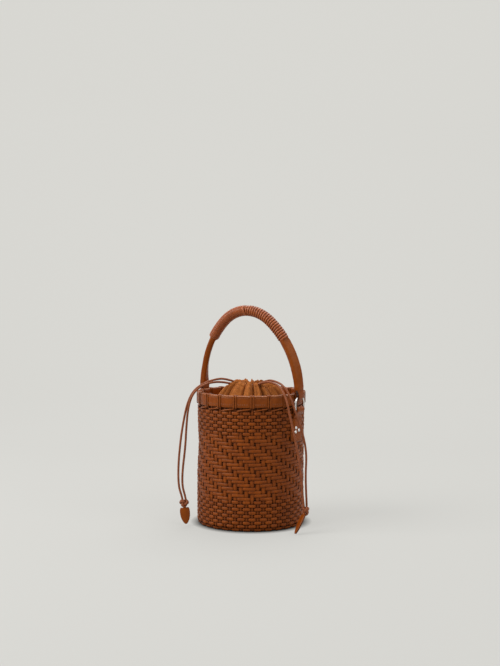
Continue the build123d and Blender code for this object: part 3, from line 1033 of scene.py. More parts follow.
# ---- Rim and base ----
@dataclass
class Rim:
    """The leather band, its facing and rolled edge, and the laces that bind them to the weave."""

    top: float = 184.0 * MM
    band_bottom: float = 168.0 * MM
    band_radius: float = 75.3 * MM
    band_thickness: float = 1.3 * MM
    sewn_gap: float = 1.6 * MM
    rounding: float = 0.3 * MM
    facing_radius: float = 68.5 * MM
    facing_bottom: float = 161.5 * MM
    facing_thickness: float = 1.4 * MM
    edge_radius: float = 71.95 * MM
    edge_half_width: float = 3.75 * MM
    edge_half_height: float = 1.25 * MM
    pairs: int = 20
    lace_width: float = 2.3 * MM
    lace_thickness: float = 0.85 * MM
    lace_pitch: float = 3.3 * MM
    lace_corner: float = 1.7 * MM
    lace_reach: float = 0.13
    whip_radius: float = 72.4 * MM
    whip_bulge: float = 2.5 * MM
    whip_drop: float = 5.0 * MM
    whip_rise: float = 3.6 * MM
    whip_half: float = 1.05 * MM
    whip_thickness: float = 1.1 * MM
    stitch_length: float = 2.1 * MM
    stitch_pitch: float = 3.0 * MM
    stitch_width: float = 0.62 * MM

    def pinch(self, u: Array, reach: float = 0.16) -> Array:
        """1 under a pair of laces, falling to 0 away from it."""
        place = (u * self.pairs + 0.5) % 1 - 0.5
        return hump(place, 0, reach)

    def band(self, palette: Palette) -> Piece:
        """The outer band, slightly padded between the laces."""

        def surface(u: Array, v: Array) -> Array:
            """The points, in metres."""
            crown = 1 - (2 * v - 1) ** 4
            radius = self.band_radius - 0.35 * MM + 0.55 * MM * crown * (1 - self.pinch(u))
            sag = 0.25 * MM * noise(5, u, (7, 13, 20))
            height = self.band_bottom + sag * (1 - v) + (self.top - self.sewn_gap - self.band_bottom) * v
            return polar(radius, math.tau * u, height)

        def tucked(u: Array, v: Array) -> Array:
            """How dark each point is painted, from 0 to 1: painted shade under the laces, and darker cut edges at the
            top and bottom.
            """
            return np.clip(0.75 * self.pinch(u, self.lace_reach) + 0.5 * np.abs(2 * v - 1) ** 12, 0, 1)

        piece = shaped_grid("rim_band_leather", 360, 8, surface, True, marks={"tucked": tucked})
        thicken(piece, self.band_thickness, -1.0, self.rounding)
        return smooth(dress(piece, palette.smooth))

    def facing(self, palette: Palette) -> Piece:
        """The inner band, which reaches down behind the first row and closes the gap under the rim."""

        def surface(u: Array, v: Array) -> Array:
            """The points, in metres."""
            radius = self.facing_radius + 0.15 * MM * self.pinch(u)
            height = self.facing_bottom + (self.top - self.sewn_gap - self.facing_bottom) * v
            return polar(radius, math.tau * u, height)

        def tucked(u: Array, v: Array) -> Array:
            """How dark each point is painted, from 0 to 1: painted shade under the laces."""
            return np.clip(0.35 + 0.5 * self.pinch(u, self.lace_reach), 0, 1)

        piece = shaped_grid("rim_facing_leather", 240, 6, surface, True, marks={"tucked": tucked})
        thicken(piece, self.facing_thickness, 1.0, self.rounding)
        return smooth(dress(piece, palette.smooth))

    def edge(self, palette: Palette) -> Piece:
        """The rolled leather edge along the top of the rim."""

        def surface(u: Array, v: Array) -> Array:
            """The points, in metres."""
            turn = math.tau * v
            squeeze = 1 - 0.07 * self.pinch(u)
            out = self.edge_half_width * squeeze * squared(np.cos(turn), 0.7)
            rise = self.edge_half_height * squeeze * np.sin(turn) + 0.15 * MM * noise(9, u, (9, 20, 27))
            return polar(self.edge_radius + out, math.tau * u, self.top - self.edge_half_height + rise)

        piece = shaped_grid("rim_rolled_edge", 360, 12, surface, True, True)
        return smooth(dress(piece, palette.edge), 80)

    def lace(self) -> Piece:
        """One lace: a closed loop round the band, the edge and the facing."""
        inner, outer = self.facing_radius - 0.75 * MM, self.band_radius + 0.55 * MM
        low, high = self.band_bottom - 1.0 * MM, self.top + 0.35 * MM
        centre = np.array([(inner + outer) / 2, (low + high) / 2])
        half = np.array([(outer - inner) / 2, (high - low) / 2])

        def path(u: Array) -> tuple[Array, Array]:
            """Points and outward normals along the lace's middle line."""
            turn = math.tau * u
            direction = stack(np.cos(turn), np.sin(turn))
            box = direction * np.min(half / np.maximum(np.abs(direction), 1e-9), axis=-1, keepdims=True)
            core = np.clip(box, self.lace_corner - half, half - self.lace_corner)
            normal = unit(box - core)
            return centre + core + normal * self.lace_corner, normal

        def surface(u: Array, v: Array) -> Array:
            """The points, in metres."""
            warp = u + 0.035 * np.sin(4 * math.pi * u)
            point, normal = path(warp)
            turn = math.tau * v
            across = 0.5 * self.lace_width * squared(np.cos(turn), 0.6)
            out = 0.5 * self.lace_thickness * np.sin(turn)
            place = point + normal * out[:, None]
            return stack(place[:, 0], across, place[:, 1])

        def tucked(u: Array, v: Array) -> Array:
            """How dark each point is, from 0 to 1: darker towards the lace's cut edges."""
            return 0.55 * np.abs(np.cos(math.tau * v)) ** 4

        return shaped_grid("lace", 72, 8, surface, True, True, marks={"tucked": tucked})

    def bindings(self, palette: Palette) -> Piece:
        """Every pair of laces."""
        half_turn = math.degrees(self.lace_pitch / 2 / self.band_radius)
        rng = np.random.default_rng(77)
        places = []
        for pair in range(self.pairs):
            for side in (-1, 1):
                places.append((360 * pair / self.pairs + side * half_turn + rng.uniform(-0.12, 0.12), 0.0))
        return smooth(dress(repeat(self.lace(), places, "rim_lacing"), palette.lace), 60)

    def whip(self, palette: Palette) -> Piece:
        """The slanting lace under the band, from the foot of each pair up to the next."""
        span = math.tau / self.pairs

        def surface(u: Array, v: Array) -> Array:
            """The points, in metres."""
            turn = span * (0.06 + 0.90 * u)
            tuck = np.sin(math.pi * np.clip(u, 0, 1)) ** 0.35
            radius = self.whip_radius + self.whip_bulge * tuck
            height = self.band_bottom - self.whip_drop + self.whip_rise * u**0.8
            around = math.tau * v
            across = self.whip_half * squared(np.cos(around), 0.7)
            out = self.whip_thickness / 2 * np.sin(around)
            return polar(radius + out, turn, height + across)

        def tucked(u: Array, v: Array) -> Array:
            """How dark each point is painted, from 0 to 1: painted shade at the ends, where the lace goes into the
            weave, and darker edges.
            """
            return np.clip(0.9 * np.abs(2 * u - 1) ** 6 + 0.35 * np.abs(np.cos(math.tau * v)) ** 4, 0, 1)

        model = shaped_grid("whip", 20, 8, surface, False, True, True, {"tucked": tucked})
        rng = np.random.default_rng(31)
        places = [(360 * pair / self.pairs, rng.uniform(-0.4, 0.4) * MM) for pair in range(self.pairs)]
        return smooth(dress(repeat(model, places, "slanting_lace"), palette.lace), 60)

    def stitches(self, palette: Palette) -> Piece:
        """The sewn lines: one under the rolled edge and two near the band's lower edge."""

        def surface(u: Array, v: Array) -> Array:
            """The points, in metres."""
            rise, out = stitch_section(u, v, self.stitch_width / 2)
            dip = 0.35 * MM * (2 * u - 1) ** 2
            return stack(self.band_radius + 0.22 * MM - dip + out, self.stitch_length * (u - 0.5), rise)

        model = shaped_grid("stitch", 5, 6, surface, False, True, True)
        count = round(math.tau * self.band_radius / self.stitch_pitch)
        levels = (self.top - 3.1 * MM, self.band_bottom + 4.7 * MM, self.band_bottom + 3.4 * MM)
        shares = np.arange(count) / count
        shares = shares[self.pinch(shares, self.lace_reach) < 0.2]
        places = [(360 * share, level) for level in levels for share in shares]
        return smooth(dress(repeat(model, places, "band_stitches"), palette.thread), 60)

    def build(self, palette: Palette) -> None:
        """Make the whole rim."""
        parts = (
            (self.band, "smooth_leather", "rim_band"),
            (self.facing, "smooth_leather", "rim_facing"),
            (self.edge, "smooth_leather", "rim_edge"),
            (self.bindings, "lacing", "rim_bindings"),
            (self.whip, "lacing", "whip_lace"),
            (self.stitches, "smooth_leather"),
        )
        for make, slot, *nodes in parts:
            settle(make(palette), "bag", slot, *nodes)


@dataclass
class Base:
    """The sewn leather panel under the weave."""

    radius: float = 60.5 * MM
    thickness: float = 2.6 * MM
    clearance: float = 0.9 * MM
    rounding: float = 0.6 * MM
    stitch_radius: float = 57.3 * MM
    stitch_pitch: float = 3.2 * MM
    stitch_length: float = 2.2 * MM
    stitch_height: float = 0.8 * MM
    thread_radius: float = 0.35 * MM

    def build(self, palette: Palette) -> None:
        """Make the panel and its ring of stitches."""
        deselect()
        bpy.ops.mesh.primitive_cylinder_add(vertices=128, radius=self.radius, depth=self.thickness)
        panel = bpy.context.object
        panel.name = "base_panel_leather"
        panel.location.z = self.thickness / 2 + self.clearance
        apply_place(panel)
        rounding = panel.modifiers.new("edge", "BEVEL")
        rounding.width = self.rounding
        rounding.segments = 3
        rounding.limit_method = "ANGLE"
        apply_modifiers(panel)
        set_attribute(panel, "tucked", np.zeros(len(panel.data.vertices)))
        settle(smooth(dress(panel, palette.smooth)), "bag", "smooth_leather", "base_panel")

        def surface(u: Array, v: Array) -> Array:
            """The points, in metres."""
            out, rise = stitch_section(u, v, self.thread_radius)
            return stack(self.stitch_radius + out, self.stitch_length * (u - 0.5), self.stitch_height + rise)

        model = shaped_grid("base_stitch", 4, 6, surface, False, True, True)
        count = round(math.tau * self.stitch_radius / self.stitch_pitch)
        ring = repeat(model, [(360 * number / count, 0.0) for number in range(count)], "base_stitches")
        settle(smooth(dress(ring, palette.thread), 60), "bag", "smooth_leather")


# ---- Pouch ----
@dataclass
class Pouch:
    """The suede pouch: a plain lining that gathers in soft folds to a drawn neck."""

    lining_radius: float = 66.6 * MM
    thickness: float = 1.1 * MM
    floor: float = 6.6 * MM
    foot: float = 166.0 * MM
    folds: int = 17
    cloth_length: float = 86.0 * MM
    wall_share: float = 0.72
    cord_channels: tuple[Triple, ...] = ((0.70, 0.018, 1.3 * MM), (0.575, 0.015, 1.0 * MM))
    fold_places: tuple[float, ...] = (0.0, 0.08, 0.20, 0.32, 0.45, 0.60, 0.72, 0.86, 1.0)
    fold_depths: tuple[float, ...] = (0.05, 0.5, 2.4, 4.8, 5.6, 4.9, 3.9, 2.4, 1.5)
    turns: int = 408
    steps: int = 96

    def spine(self) -> Array:
        """Where the middle of the cloth runs, as (radius, height) from the facing to the mouth."""
        return np.array(
            [
                (67.0, 163.5), (66.6, 166.4), (62.0, 168.0), (55.0, 169.4), (48.0, 172.4), (42.6, 178.0),
                (38.0, 183.6), (33.6, 188.8), (29.4, 192.6), (26.0, 194.4), (22.4, 195.0), (18.4, 194.8),
                (14.4, 193.0), (11.0, 189.8), (8.8, 186.2), (7.6, 182.0), (7.4, 177.4),
            ]
        ) * MM

    def along_spine(self, share: Array) -> tuple[Array, Array]:
        """Points and upper-side normals a share of the way along the spine."""
        spine = self.spine()
        runs = shares_along(spine)
        fine = np.linspace(0, 1, 400)
        kernel = np.exp(-0.5 * (np.arange(-20, 21) / 7.0) ** 2)
        kernel /= kernel.sum()
        smoothed = []
        for axis in range(2):
            line = np.interp(fine, runs, spine[:, axis])
            padded = np.concatenate([2 * line[0] - line[20:0:-1], line, 2 * line[-1] - line[-2:-22:-1]])
            smoothed.append(np.convolve(padded, kernel, "valid"))
        line = stack(*smoothed)
        slopes = unit(on_path(share, fine, np.gradient(line, fine, axis=0)))
        return on_path(share, fine, line), stack(slopes[:, 1], -slopes[:, 0])

    def warp(self, u: Array) -> Array:
        """Uneven widths for the folds: positions round the neck, moved a little."""
        return u + 0.010 * noise(61, u, (2, 3, 5, 7))

    def fold_height(self, u: Array, share: Array) -> Array:
        """The folds' height over the spine, from -1 to 1, which fades in from the facing."""
        place = self.warp(u)
        drift = 0.16 * np.sin(math.tau * (place * 3 + 0.2)) * share
        ridge = 2 * np.abs(np.cos(math.pi * (self.folds * place + drift))) ** 0.62 - 1.3
        split = 0.22 * np.cos(math.tau * (2 * self.folds * place + 0.3)) * noise(63, u, (1, 2, 4))
        small = 0.25 * noise(64, u, (29, 37, 43)) * share
        return ridge * (0.8 + 0.25 * noise(62, u, (2, 5, 9))) + split * share + small

    def depth(self, share: Array) -> Array:
        """How deep the folds are along the spine, in metres."""
        return np.interp(share, self.fold_places, self.fold_depths) * MM

    def collar(self, palette: Palette) -> Piece:
        """The gathered collar, from the facing up, in and down into the mouth."""

        def surface(u: Array, v: Array) -> Array:
            """The points, in metres."""
            point, normal = self.along_spine(v)
            fold = self.fold_height(u, np.clip(v * 2.2, 0, 1))
            lift = self.depth(v) * fold
            channel = sum(deep * hump(v, place, width) for place, width, deep in self.cord_channels)
            mound = 1.6 * MM * noise(70, u, (1, 2, 3)) * np.clip((v - 0.2) * 2.5, 0, 1)
            place = point + normal * (lift - channel)[:, None]
            place[:, 1] += mound * np.clip(1 - 1.3 * np.abs(v - 0.6), 0, 1)
            lean = 0.35 * noise(71, u, (3, 5)) * self.depth(v)
            turn = math.tau * u + lean / np.maximum(place[:, 0], 6 * MM)
            return polar(place[:, 0], turn, place[:, 1])

        def shade(u: Array, v: Array) -> Array:
            """How deep in a fold each point lies, from 0 to 1."""
            fold = self.fold_height(u, np.clip(v * 2.2, 0, 1))
            deep = np.clip(-fold, 0, 1) * np.interp(v, [0, 0.25, 0.5, 1], [0.1, 0.35, 1, 1])
            return np.clip(deep + np.interp(v, [0, 0.74, 0.86, 1], [0, 0, 0.6, 1]), 0, 1)

        marks = {"fold": shade}
        piece = shaped_grid("pouch_collar_cloth", self.turns, self.steps, surface, True, marks=marks)
        thicken(piece, self.thickness, -1.0)
        return smooth(dress(piece, palette.suede), 70)

    def lining(self, palette: Palette) -> Piece:
        """The cloth inside the weave, with its floor."""

        def surface(u: Array, v: Array) -> Array:
            """The points, in metres."""
            share = np.clip(v / self.wall_share, 0, 1)
            centre = rising(v, self.wall_share, 1 - self.wall_share)
            ripple = 0.35 * MM * noise(80, u, (5, 9, 14)) * (1 - centre)
            radius = (self.lining_radius - 0.3 * MM + ripple) * (1 - centre) + 0.4 * MM * centre
            height = self.foot + (self.floor + 0.2 * MM - self.foot) * share
            return polar(radius, math.tau * u, height)

        marks = {"fold": lambda u, v: np.full_like(u, 0.5)}
        piece = shaped_grid("pouch_lining_cloth", 180, 50, surface, True, marks=marks)
        thicken(piece, 0.9 * MM, 1.0)
        return smooth(dress(piece, palette.suede), 50)

    def build(self, palette: Palette) -> None:
        """Make the pouch."""
        collar = self.collar(palette)
        settle(collar, "bag", "pouch", "pouch_collar")
        settle(self.lining(palette), "bag", "pouch", "pouch_lining")
        flat = (math.tau * self.lining_radius, self.cloth_length)
        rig.sheet(collar, flat=flat, held="gathered", rests_on=["rim_facing"])


# ---- Handle ----
@dataclass
class Handle:
    """The arched handle: two flat legs and a grip bound with a flat lace, leaning a little forward."""

    lean: float = 4.6
    hinge: float = 170.5 * MM
    reach: float = 80.6 * MM
    spring: float = 19.5 * MM
    side_radius: float = 122.42 * MM
    side_centre: float = -41.82 * MM
    crown_radius: float = 58.0 * MM
    crown_centre: float = 68.5 * MM
    joint: float = 49.52
    leg_width: float = 13.6 * MM
    leg_thickness: float = 8.6 * MM
    core_thickness: float = 4.8 * MM
    core_width: float = 9.2 * MM
    grip_start: float = 34.0
    grip_radius: float = 6.35 * MM
    coil_radius: float = 6.45 * MM
    lace_width: float = 3.1 * MM
    lace_thickness: float = 2.4 * MM
    coil_pitch: float = 3.6 * MM
    fine_coil_radius: float = 6.9 * MM
    fine_lace_width: float = 2.0 * MM
    fine_lace_thickness: float = 1.2 * MM
    fine_coil_pitch: float = 2.0 * MM
    twist: float = 30.0
    faces_per_turn: int = 22

    def arch(self, share: Array) -> tuple[Array, Array]:
        """Points and directions along the handle's middle line, in its upright plane.

        Args:
            share: From 0 at the right foot to 1 at the left foot.
        Returns:
            Points (across, height over the hinge) and unit directions.
        """
        joint = math.radians(self.joint)
        side = self.side_radius * joint
        crown = self.crown_radius * (math.pi - 2 * joint)
        length = share * (2 * side + crown)
        first = np.clip(length, 0, side) / self.side_radius
        middle = joint + np.clip(length - side, 0, crown) / self.crown_radius
        last = math.pi - joint + np.clip(length - side - crown, 0, side) / self.side_radius
        on_first, on_last = length < side, length > side + crown
        angle = np.where(on_first, first, np.where(on_last, last, middle))
        radius = np.where(on_first | on_last, self.side_radius, self.crown_radius)
        across = np.where(on_first, self.side_centre, np.where(on_last, -self.side_centre, 0))
        base = np.where(on_first | on_last, self.spring, self.crown_centre)
        point = stack(across + radius * np.cos(angle), base + radius * np.sin(angle))
        return point, stack(-np.sin(angle), np.cos(angle))

    @property
    def length(self) -> float:
        """The middle line's length, in metres."""
        joint = math.radians(self.joint)
        return 2 * self.side_radius * joint + self.crown_radius * (math.pi - 2 * joint)

    @property
    def grip_share(self) -> float:
        """Where the lacing starts, as a share of the middle line."""
        return self.side_radius * math.radians(self.grip_start) / self.length

    def sweep(self, share: Array, out: Array, side: Array) -> Array:
        """Points beside the middle line: out from the arch's centre, and sideways from its plane.

        Args:
            share: The place along the handle.
            out: The distance outwards in the arch's plane, in metres.
            side: The distance along Y, in metres.
        Returns:
            The points, with the handle's lean.
        """
        point, direction = self.arch(share)
        outward = stack(direction[:, 1], -direction[:, 0])
        place = point + outward * out[:, None]
        lean = math.radians(self.lean)
        y = side * math.cos(lean) - place[:, 1] * math.sin(lean)
        z = side * math.sin(lean) + place[:, 1] * math.cos(lean)
        return stack(place[:, 0], y, self.hinge + z)

    def section(self, v: Array, half_out: float, half_side: float, power: float) -> tuple[Array, Array]:
        """A rounded rectangular section.

        Args:
            v: The place round the section, from 0 to 1.
            half_out: Half the thickness, in metres.
            half_side: Half the width, in metres.
            power: How square it is, from 0 for a rectangle to 1 for an ellipse.
        Returns:
            The distances outwards and sideways.
        """
        turn = math.tau * v
        out = half_out * squared(np.cos(turn), power)
        side = half_side * squared(np.sin(turn), power)
        return out, side

    def sheath(self, palette: Palette) -> Piece:
        """The leather that covers the legs and runs on under the lacing, with its seam and creases."""
        grip = self.grip_share

        def surface(u: Array, v: Array) -> Array:
            """The points, in metres."""
            out, side = self.section(v, self.leg_thickness / 2, self.leg_width / 2, 0.55)
            foot = np.minimum(u, 1 - u)
            under = np.clip((foot - grip + 0.012) / 0.02, 0, 1)
            inner = self.grip_radius * 0.95
            out = out * (1 - under) + inner * np.cos(math.tau * v) * under
            side = side * (1 - under) + inner * np.sin(math.tau * v) * under
            swell = 1 + 0.05 * hump(foot, 0.012, 0.012)
            seam = 0.35 * MM * hump(v, 0.25, 0.02) * (1 - under)
            side = side - seam
            creases = 0.10 * MM * noise(90, 3 * u, (11, 17, 29)) * (1 - under)
            turn = math.radians(-self.twist) * np.clip(foot / (0.4 * grip), 0, 1)
            turn = turn * np.clip(2 - foot / grip, 0, 1)
            spun_out = out * np.cos(turn) - side * np.sin(turn)
            spun_side = out * np.sin(turn) + side * np.cos(turn)
            return self.sweep(u, (spun_out + creases) * swell, spun_side * swell)

        def tucked(u: Array, v: Array) -> Array:
            """How dark each point is painted, from 0 to 1: darker along the seam, and painted shade at the feet, where
            they go into the folded ends.
            """
            foot = np.minimum(u, 1 - u)
            seam = hump(v, 0.25, 0.018)
            return np.clip(0.7 * seam + 0.5 * hump(foot, 0, 0.008), 0, 1)

        piece = shaped_grid("handle_sheath_leather", 220, 40, surface, False, True, True, {"tucked": tucked})
        return smooth(dress(piece, palette.smooth), 60)

    def core(self, palette: Palette) -> Piece:
        """The rope core, hidden in the sheath."""

        def surface(u: Array, v: Array) -> Array:
            """The points, in metres."""
            out, side = self.section(v, self.core_thickness / 2, self.core_width / 2, 0.6)
            return self.sweep(0.004 + 0.992 * u, out, side)

        piece = shaped_grid("handle_core_rope", 90, 14, surface, False, True, True)
        return smooth(dress(piece, palette.thread), 60)

    def coil(self, name: str, ends: Pair, radius: float, lace: Triple) -> Piece:
        """One stretch of lace wound round the grip, turn beside turn.

        Args:
            name: The piece's name.
            ends: Where it starts and stops, as shares of the middle line.
            radius: The radius of the lace's own middle line, in metres.
            lace: The lace's width and thickness and the distance from turn to turn, in metres.
        Returns:
            The stretch.
        """
        start, run = ends[0], ends[1] - ends[0]
        width, thickness, pitch = lace
        turns = round(run * self.length / pitch)

        def surface(u: Array, v: Array) -> Array:
            """The points, in metres."""
            wobble = 0.04 * noise(95, u, (21, 37, 53)) / turns
            around = math.tau * turns * u + math.pi
            across, out = self.section(v, width / 2, thickness / 2, 0.9)
            tight = np.clip(np.minimum(u, 1 - u) * turns / 0.9, 0, 1)
            reach = radius - 0.9 * MM * (1 - tight) + out + 0.06 * MM * noise(96, u, (13, 31, 47))
            share = start + run * (u + wobble) + across / self.length
            return self.sweep(share, reach * np.cos(around), reach * np.sin(around))

        def tucked(u: Array, v: Array) -> Array:
            """How dark each point is painted, from 0 to 1: painted shade in the grooves between turns, with darker cut
            edges.
            """
            return np.clip(1.1 * np.abs(np.cos(math.tau * v)) ** 3, 0, 1)

        faces = turns * self.faces_per_turn
        return shaped_grid(name, faces, 10, surface, False, True, True, {"tucked": tucked})

    def lacing(self, palette: Palette) -> Piece:
        """The grip's whole lacing: bold turns on the right of the crown, fine ones on the left."""
        first, last = self.grip_share - 0.002, 1 - self.grip_share + 0.002
        bold = (self.lace_width, self.lace_thickness, self.coil_pitch)
        fine = (self.fine_lace_width, self.fine_lace_thickness, self.fine_coil_pitch)
        bold_coil = self.coil("bold_coil", (first, 0.5), self.coil_radius, bold)
        fine_coil = self.coil("fine_coil", (0.5, last), self.fine_coil_radius, fine)
        return smooth(dress(join([bold_coil, fine_coil], "grip_lacing"), palette.grip), 60)

    def lace_over(self, palette: Palette) -> Piece:
        """The short crossing stretch where the wound lace is joined on the front of the crown."""

        def surface(u: Array, v: Array) -> Array:
            """The points, in metres."""
            across, out = self.section(v, 0.5 * self.lace_width, 0.6 * self.lace_thickness, 0.8)
            around = math.radians(-150) + math.radians(118) * u
            tuck = np.sin(math.pi * np.clip(u, 0, 1)) ** 0.4
            radius = self.coil_radius + 0.1 * MM + 1.1 * MM * tuck + out
            share = 0.5 + (-2.6 * MM + 6.4 * MM * u) / self.length + across / self.length
            return self.sweep(share, radius * np.cos(around), radius * np.sin(around))

        def tucked(u: Array, v: Array) -> Array:
            """How dark each point is painted, from 0 to 1: painted shade at the ends, where the lace passes under the
            coil, and darker edges.
            """
            return np.clip(0.6 * np.abs(np.cos(math.tau * v)) ** 3 + np.abs(2 * u - 1) ** 8, 0, 1)

        piece = shaped_grid("grip_lace_join", 24, 10, surface, False, True, True, {"tucked": tucked})
        return smooth(dress(piece, palette.grip), 60)

    def end(self, direction: int, palette: Palette) -> Piece:
        """One end: the leather goes down one face of the ring, under its arc and up the other.

        Args:
            direction: 1 for the right end, -1 for the left.
            palette: The bag's finishes.
        Returns:
            The folded end.
        """
        ring, wire = 10.5 * MM, 1.3 * MM
        thick = 1.6 * MM
        slot_half = wire + 1.0 * MM
        mid = slot_half + thick / 2
        narrow = 5.0 * MM
        slot_low = math.sqrt(ring**2 - narrow**2) - wire - 0.3 * MM
        bend = slot_low + slot_half - thick / 2
        falls = [self.spring + 3.4 * MM, self.spring - 3.0 * MM, self.spring - 7.0 * MM]
        fold = arc((0, bend), mid, math.pi, 9, squash=0.86)
        down = [(-mid, fall) for fall in falls]
        path = np.array([*down, *fold, *((mid, fall) for fall in reversed(falls))])
        runs = shares_along(path)

        def surface(u: Array, v: Array) -> Array:
            """The points, in metres."""
            across, height = on_path(u, runs, path).T
            step = 1e-3
            tangent = unit(on_path(u + step, runs, path) - on_path(u - step, runs, path))
            half = narrow + (self.leg_width / 2 + 0.2 * MM - narrow) * rising(height, 12.5 * MM, 5.0 * MM)
            thickness, side = self.section(v, thick / 2, 1.0, 0.35)
            pinch = 0.9 * MM * rising(height, self.spring - 4 * MM, 5 * MM)
            reach = across - np.sign(across) * pinch
            x = reach + tangent[:, 1] * thickness
            z = height - tangent[:, 0] * thickness
            return self.place_end(direction, x, side * half, z)

        def tucked(u: Array, v: Array) -> Array:
            """How dark each point is, from 0 to 1: darker towards the cut edges."""
            return np.clip(0.75 * np.abs(np.sin(math.tau * v)) ** 6, 0, 1)

        piece = shaped_grid("handle_end_leather", 60, 20, surface, False, True, True, {"tucked": tucked})
        return smooth(dress(piece, palette.smooth), 50)

    def place_end(self, direction: int, x: Array, y: Array, z: Array) -> Array:
        """Put points that are measured from one foot of the handle into the bag's frame."""
        lean = math.radians(self.lean)
        turned = y * math.cos(lean) - z * math.sin(lean)
        raised = y * math.sin(lean) + z * math.cos(lean)
        return stack(direction * (self.reach + x), turned, self.hinge + raised)

    def build(self, palette: Palette) -> None:
        """Make the whole handle."""
        settle(self.core(palette), "handle", "rope_core", "handle_core")
        settle(self.sheath(palette), "handle", "smooth_leather", "handle_sheath")
        settle(self.lacing(palette), "handle", "lacing", "handle_wrap")
        settle(self.lace_over(palette), "handle", "lacing")
        for direction, side in ((1, "right"), (-1, "left")):
            piece = self.end(direction, palette)
            piece.name = f"handle_end_leather_{side}"
            settle(piece, "handle", "smooth_leather", f"handle_end_{side}")


# ---- Hardware ----
@dataclass
class Hardware:
    """The D-rings, the folded straps that hold them, and the riveted patches."""

    reach: float = 80.6 * MM
    hinge: float = 170.5 * MM
    ring_half: float = 10.5 * MM
    ring_side: float = 7.0 * MM
    ring_corner: float = 2.5 * MM
    wire: float = 1.3 * MM
    strap_half: float = 8.5 * MM
    strap_thickness: float = 1.6 * MM
    strap_bottom: float = 123.2 * MM
    fold_bottom: float = 152.0 * MM
    wall: float = 74.2 * MM
    patch_half: float = 13.0 * MM
    patch_top: float = 151.0 * MM
    patch_bottom: float = 119.0 * MM
    patch_radius: float = 78.9 * MM
    patch_thickness: float = 1.5 * MM
    sewn_line: float = 0.86
    stitch_pitch: float = 2.9 * MM
    stitch_length: float = 2.1 * MM
    thread_radius: float = 0.32 * MM
    rivet_radius: float = 2.25 * MM
    rivet_flatness: float = 0.62
    burr_radius: float = 2.3 * MM
    burr_thickness: float = 0.8 * MM
    burr_distance: float = 69.4 * MM
    rivet_places: tuple[Pair, ...] = ((-5.8, 12.8), (-6.6, 18.2), (0.8, 16.5))

    def ring(self, palette: Palette) -> Piece:
        """One D-ring of round wire, on the right side."""
        bar = self.hinge - self.ring_side
        points = arc((0, self.hinge), self.ring_half, 0, 33)
        inset = self.ring_half - self.ring_corner
        for across, start in ((-inset, math.pi), (inset, 1.5 * math.pi)):
            points += arc((across, bar + self.ring_corner), self.ring_corner, start, 9, math.pi / 2)
        outline = np.array([*points, points[0]])
        runs = shares_along(outline)

        def surface(u: Array, v: Array) -> Array:
            """The points, in metres."""
            y, z = on_path(u, runs, outline).T
            step = 0.004
            tangent = unit(on_path((u + step) % 1, runs, outline) - on_path((u - step) % 1, runs, outline))
            around = math.tau * v
            side, out = self.wire * np.cos(around), self.wire * np.sin(around)
            return stack(self.reach + side, y + tangent[:, 1] * out, z - tangent[:, 0] * out)

        piece = shaped_grid("d_ring", 140, 16, surface, True, True)
        return smooth(dress(piece, palette.metal), 60)

    def strap(self, palette: Palette) -> Piece:
        """One folded strap on the right side: up over the ring's bar and down to the patch."""
        bar = self.hinge - self.ring_side
        centre = self.reach
        loop = self.wire + 0.4 * MM + self.strap_thickness / 2
        low = self.wall + self.strap_thickness * 0.5
        high = low + self.strap_thickness
        front = [(high, self.strap_bottom), (high, 140 * MM), (high, self.fold_bottom + 1.0 * MM)]
        swell = [(high + 1.6 * MM, self.fold_bottom + 4.2 * MM), (centre + loop * 0.9, bar - 2.0 * MM)]
        back = [(low + 0.6 * MM, bar - 5.0 * MM), (low, self.fold_bottom), (low, 140 * MM)]
        path = np.array([*front, *swell, *arc((centre, bar), loop, 0, 9), *back, (low, self.strap_bottom)])
        runs = shares_along(path)
        fine = np.linspace(0, 1, 300)
        kernel = np.exp(-0.5 * (np.arange(-6, 7) / 3.0) ** 2)
        kernel /= kernel.sum()
        padded = np.pad(on_path(fine, runs, path), ((6, 6), (0, 0)), mode="edge")
        line = stack(*(np.convolve(axis, kernel, "valid") for axis in padded.T))

        def surface(u: Array, v: Array) -> Array:
            """The points, in metres."""
            x, z = on_path(u, fine, line).T
            step = 0.006
            tangent = unit(on_path(u + step, fine, line) - on_path(u - step, fine, line))
            turn = math.tau * v
            across = self.strap_half * squared(np.cos(turn), 0.35)
            thick = 0.5 * self.strap_thickness * squared(np.sin(turn), 0.6)
            pad = 0.5 * MM * rising(z, self.fold_bottom, 9 * MM) * (1 - np.abs(np.cos(turn)) ** 8)
            out = thick + np.sign(np.sin(turn)) * pad * 0.5
            x = x + tangent[:, 1] * out
            z = z - tangent[:, 0] * out
            flat = rising(z, self.fold_bottom, 4 * MM)
            curve = np.sqrt(np.maximum(x**2 - across**2, 0))
            return stack(x * flat + curve * (1 - flat), across, z)

        def tucked(u: Array, v: Array) -> Array:
            """How dark each point is, from 0 to 1: darker towards the cut edges."""
            return 0.6 * np.abs(np.cos(math.tau * v)) ** 14

        piece = shaped_grid("ring_strap", 110, 28, surface, False, True, True, {"tucked": tucked})
        return smooth(dress(piece, palette.smooth), 50)

    def patch_lift(self, across: Array) -> Array:
        """How far the patch lies from the wall's middle: more where it passes over the strap."""
        over_strap = 1 / (1 + np.exp((np.abs(across) - self.strap_half - 0.8 * MM) / (0.35 * MM)))
        return 1.9 * MM + 2.9 * MM * over_strap

    def patch(self, palette: Palette) -> Piece:
        """The stitched patch over the strap's tail, on the right side."""
        middle = (self.patch_top + self.patch_bottom) / 2
        half_height = (self.patch_top - self.patch_bottom) / 2

        def surface(u: Array, v: Array) -> Array:
            """The points, in metres."""
            a, b = 2 * u - 1, 2 * v - 1
            round_end = np.sqrt(np.clip(1 - (np.clip(np.abs(b) - 0.75, 0, 1) / 0.25) ** 2, 0, 1))
            across = self.patch_half * a * (1 - 0.30 * (1 - round_end))
            edge = to_edge(u, v)
            radius = self.wall + self.patch_lift(across) - 1.2 * MM * rising(edge, 0.93, 0.07) ** 2
            radius = radius - 0.25 * MM * hump(edge, self.sewn_line, 0.02)
            return polar(radius, across / self.patch_radius, middle + half_height * b)

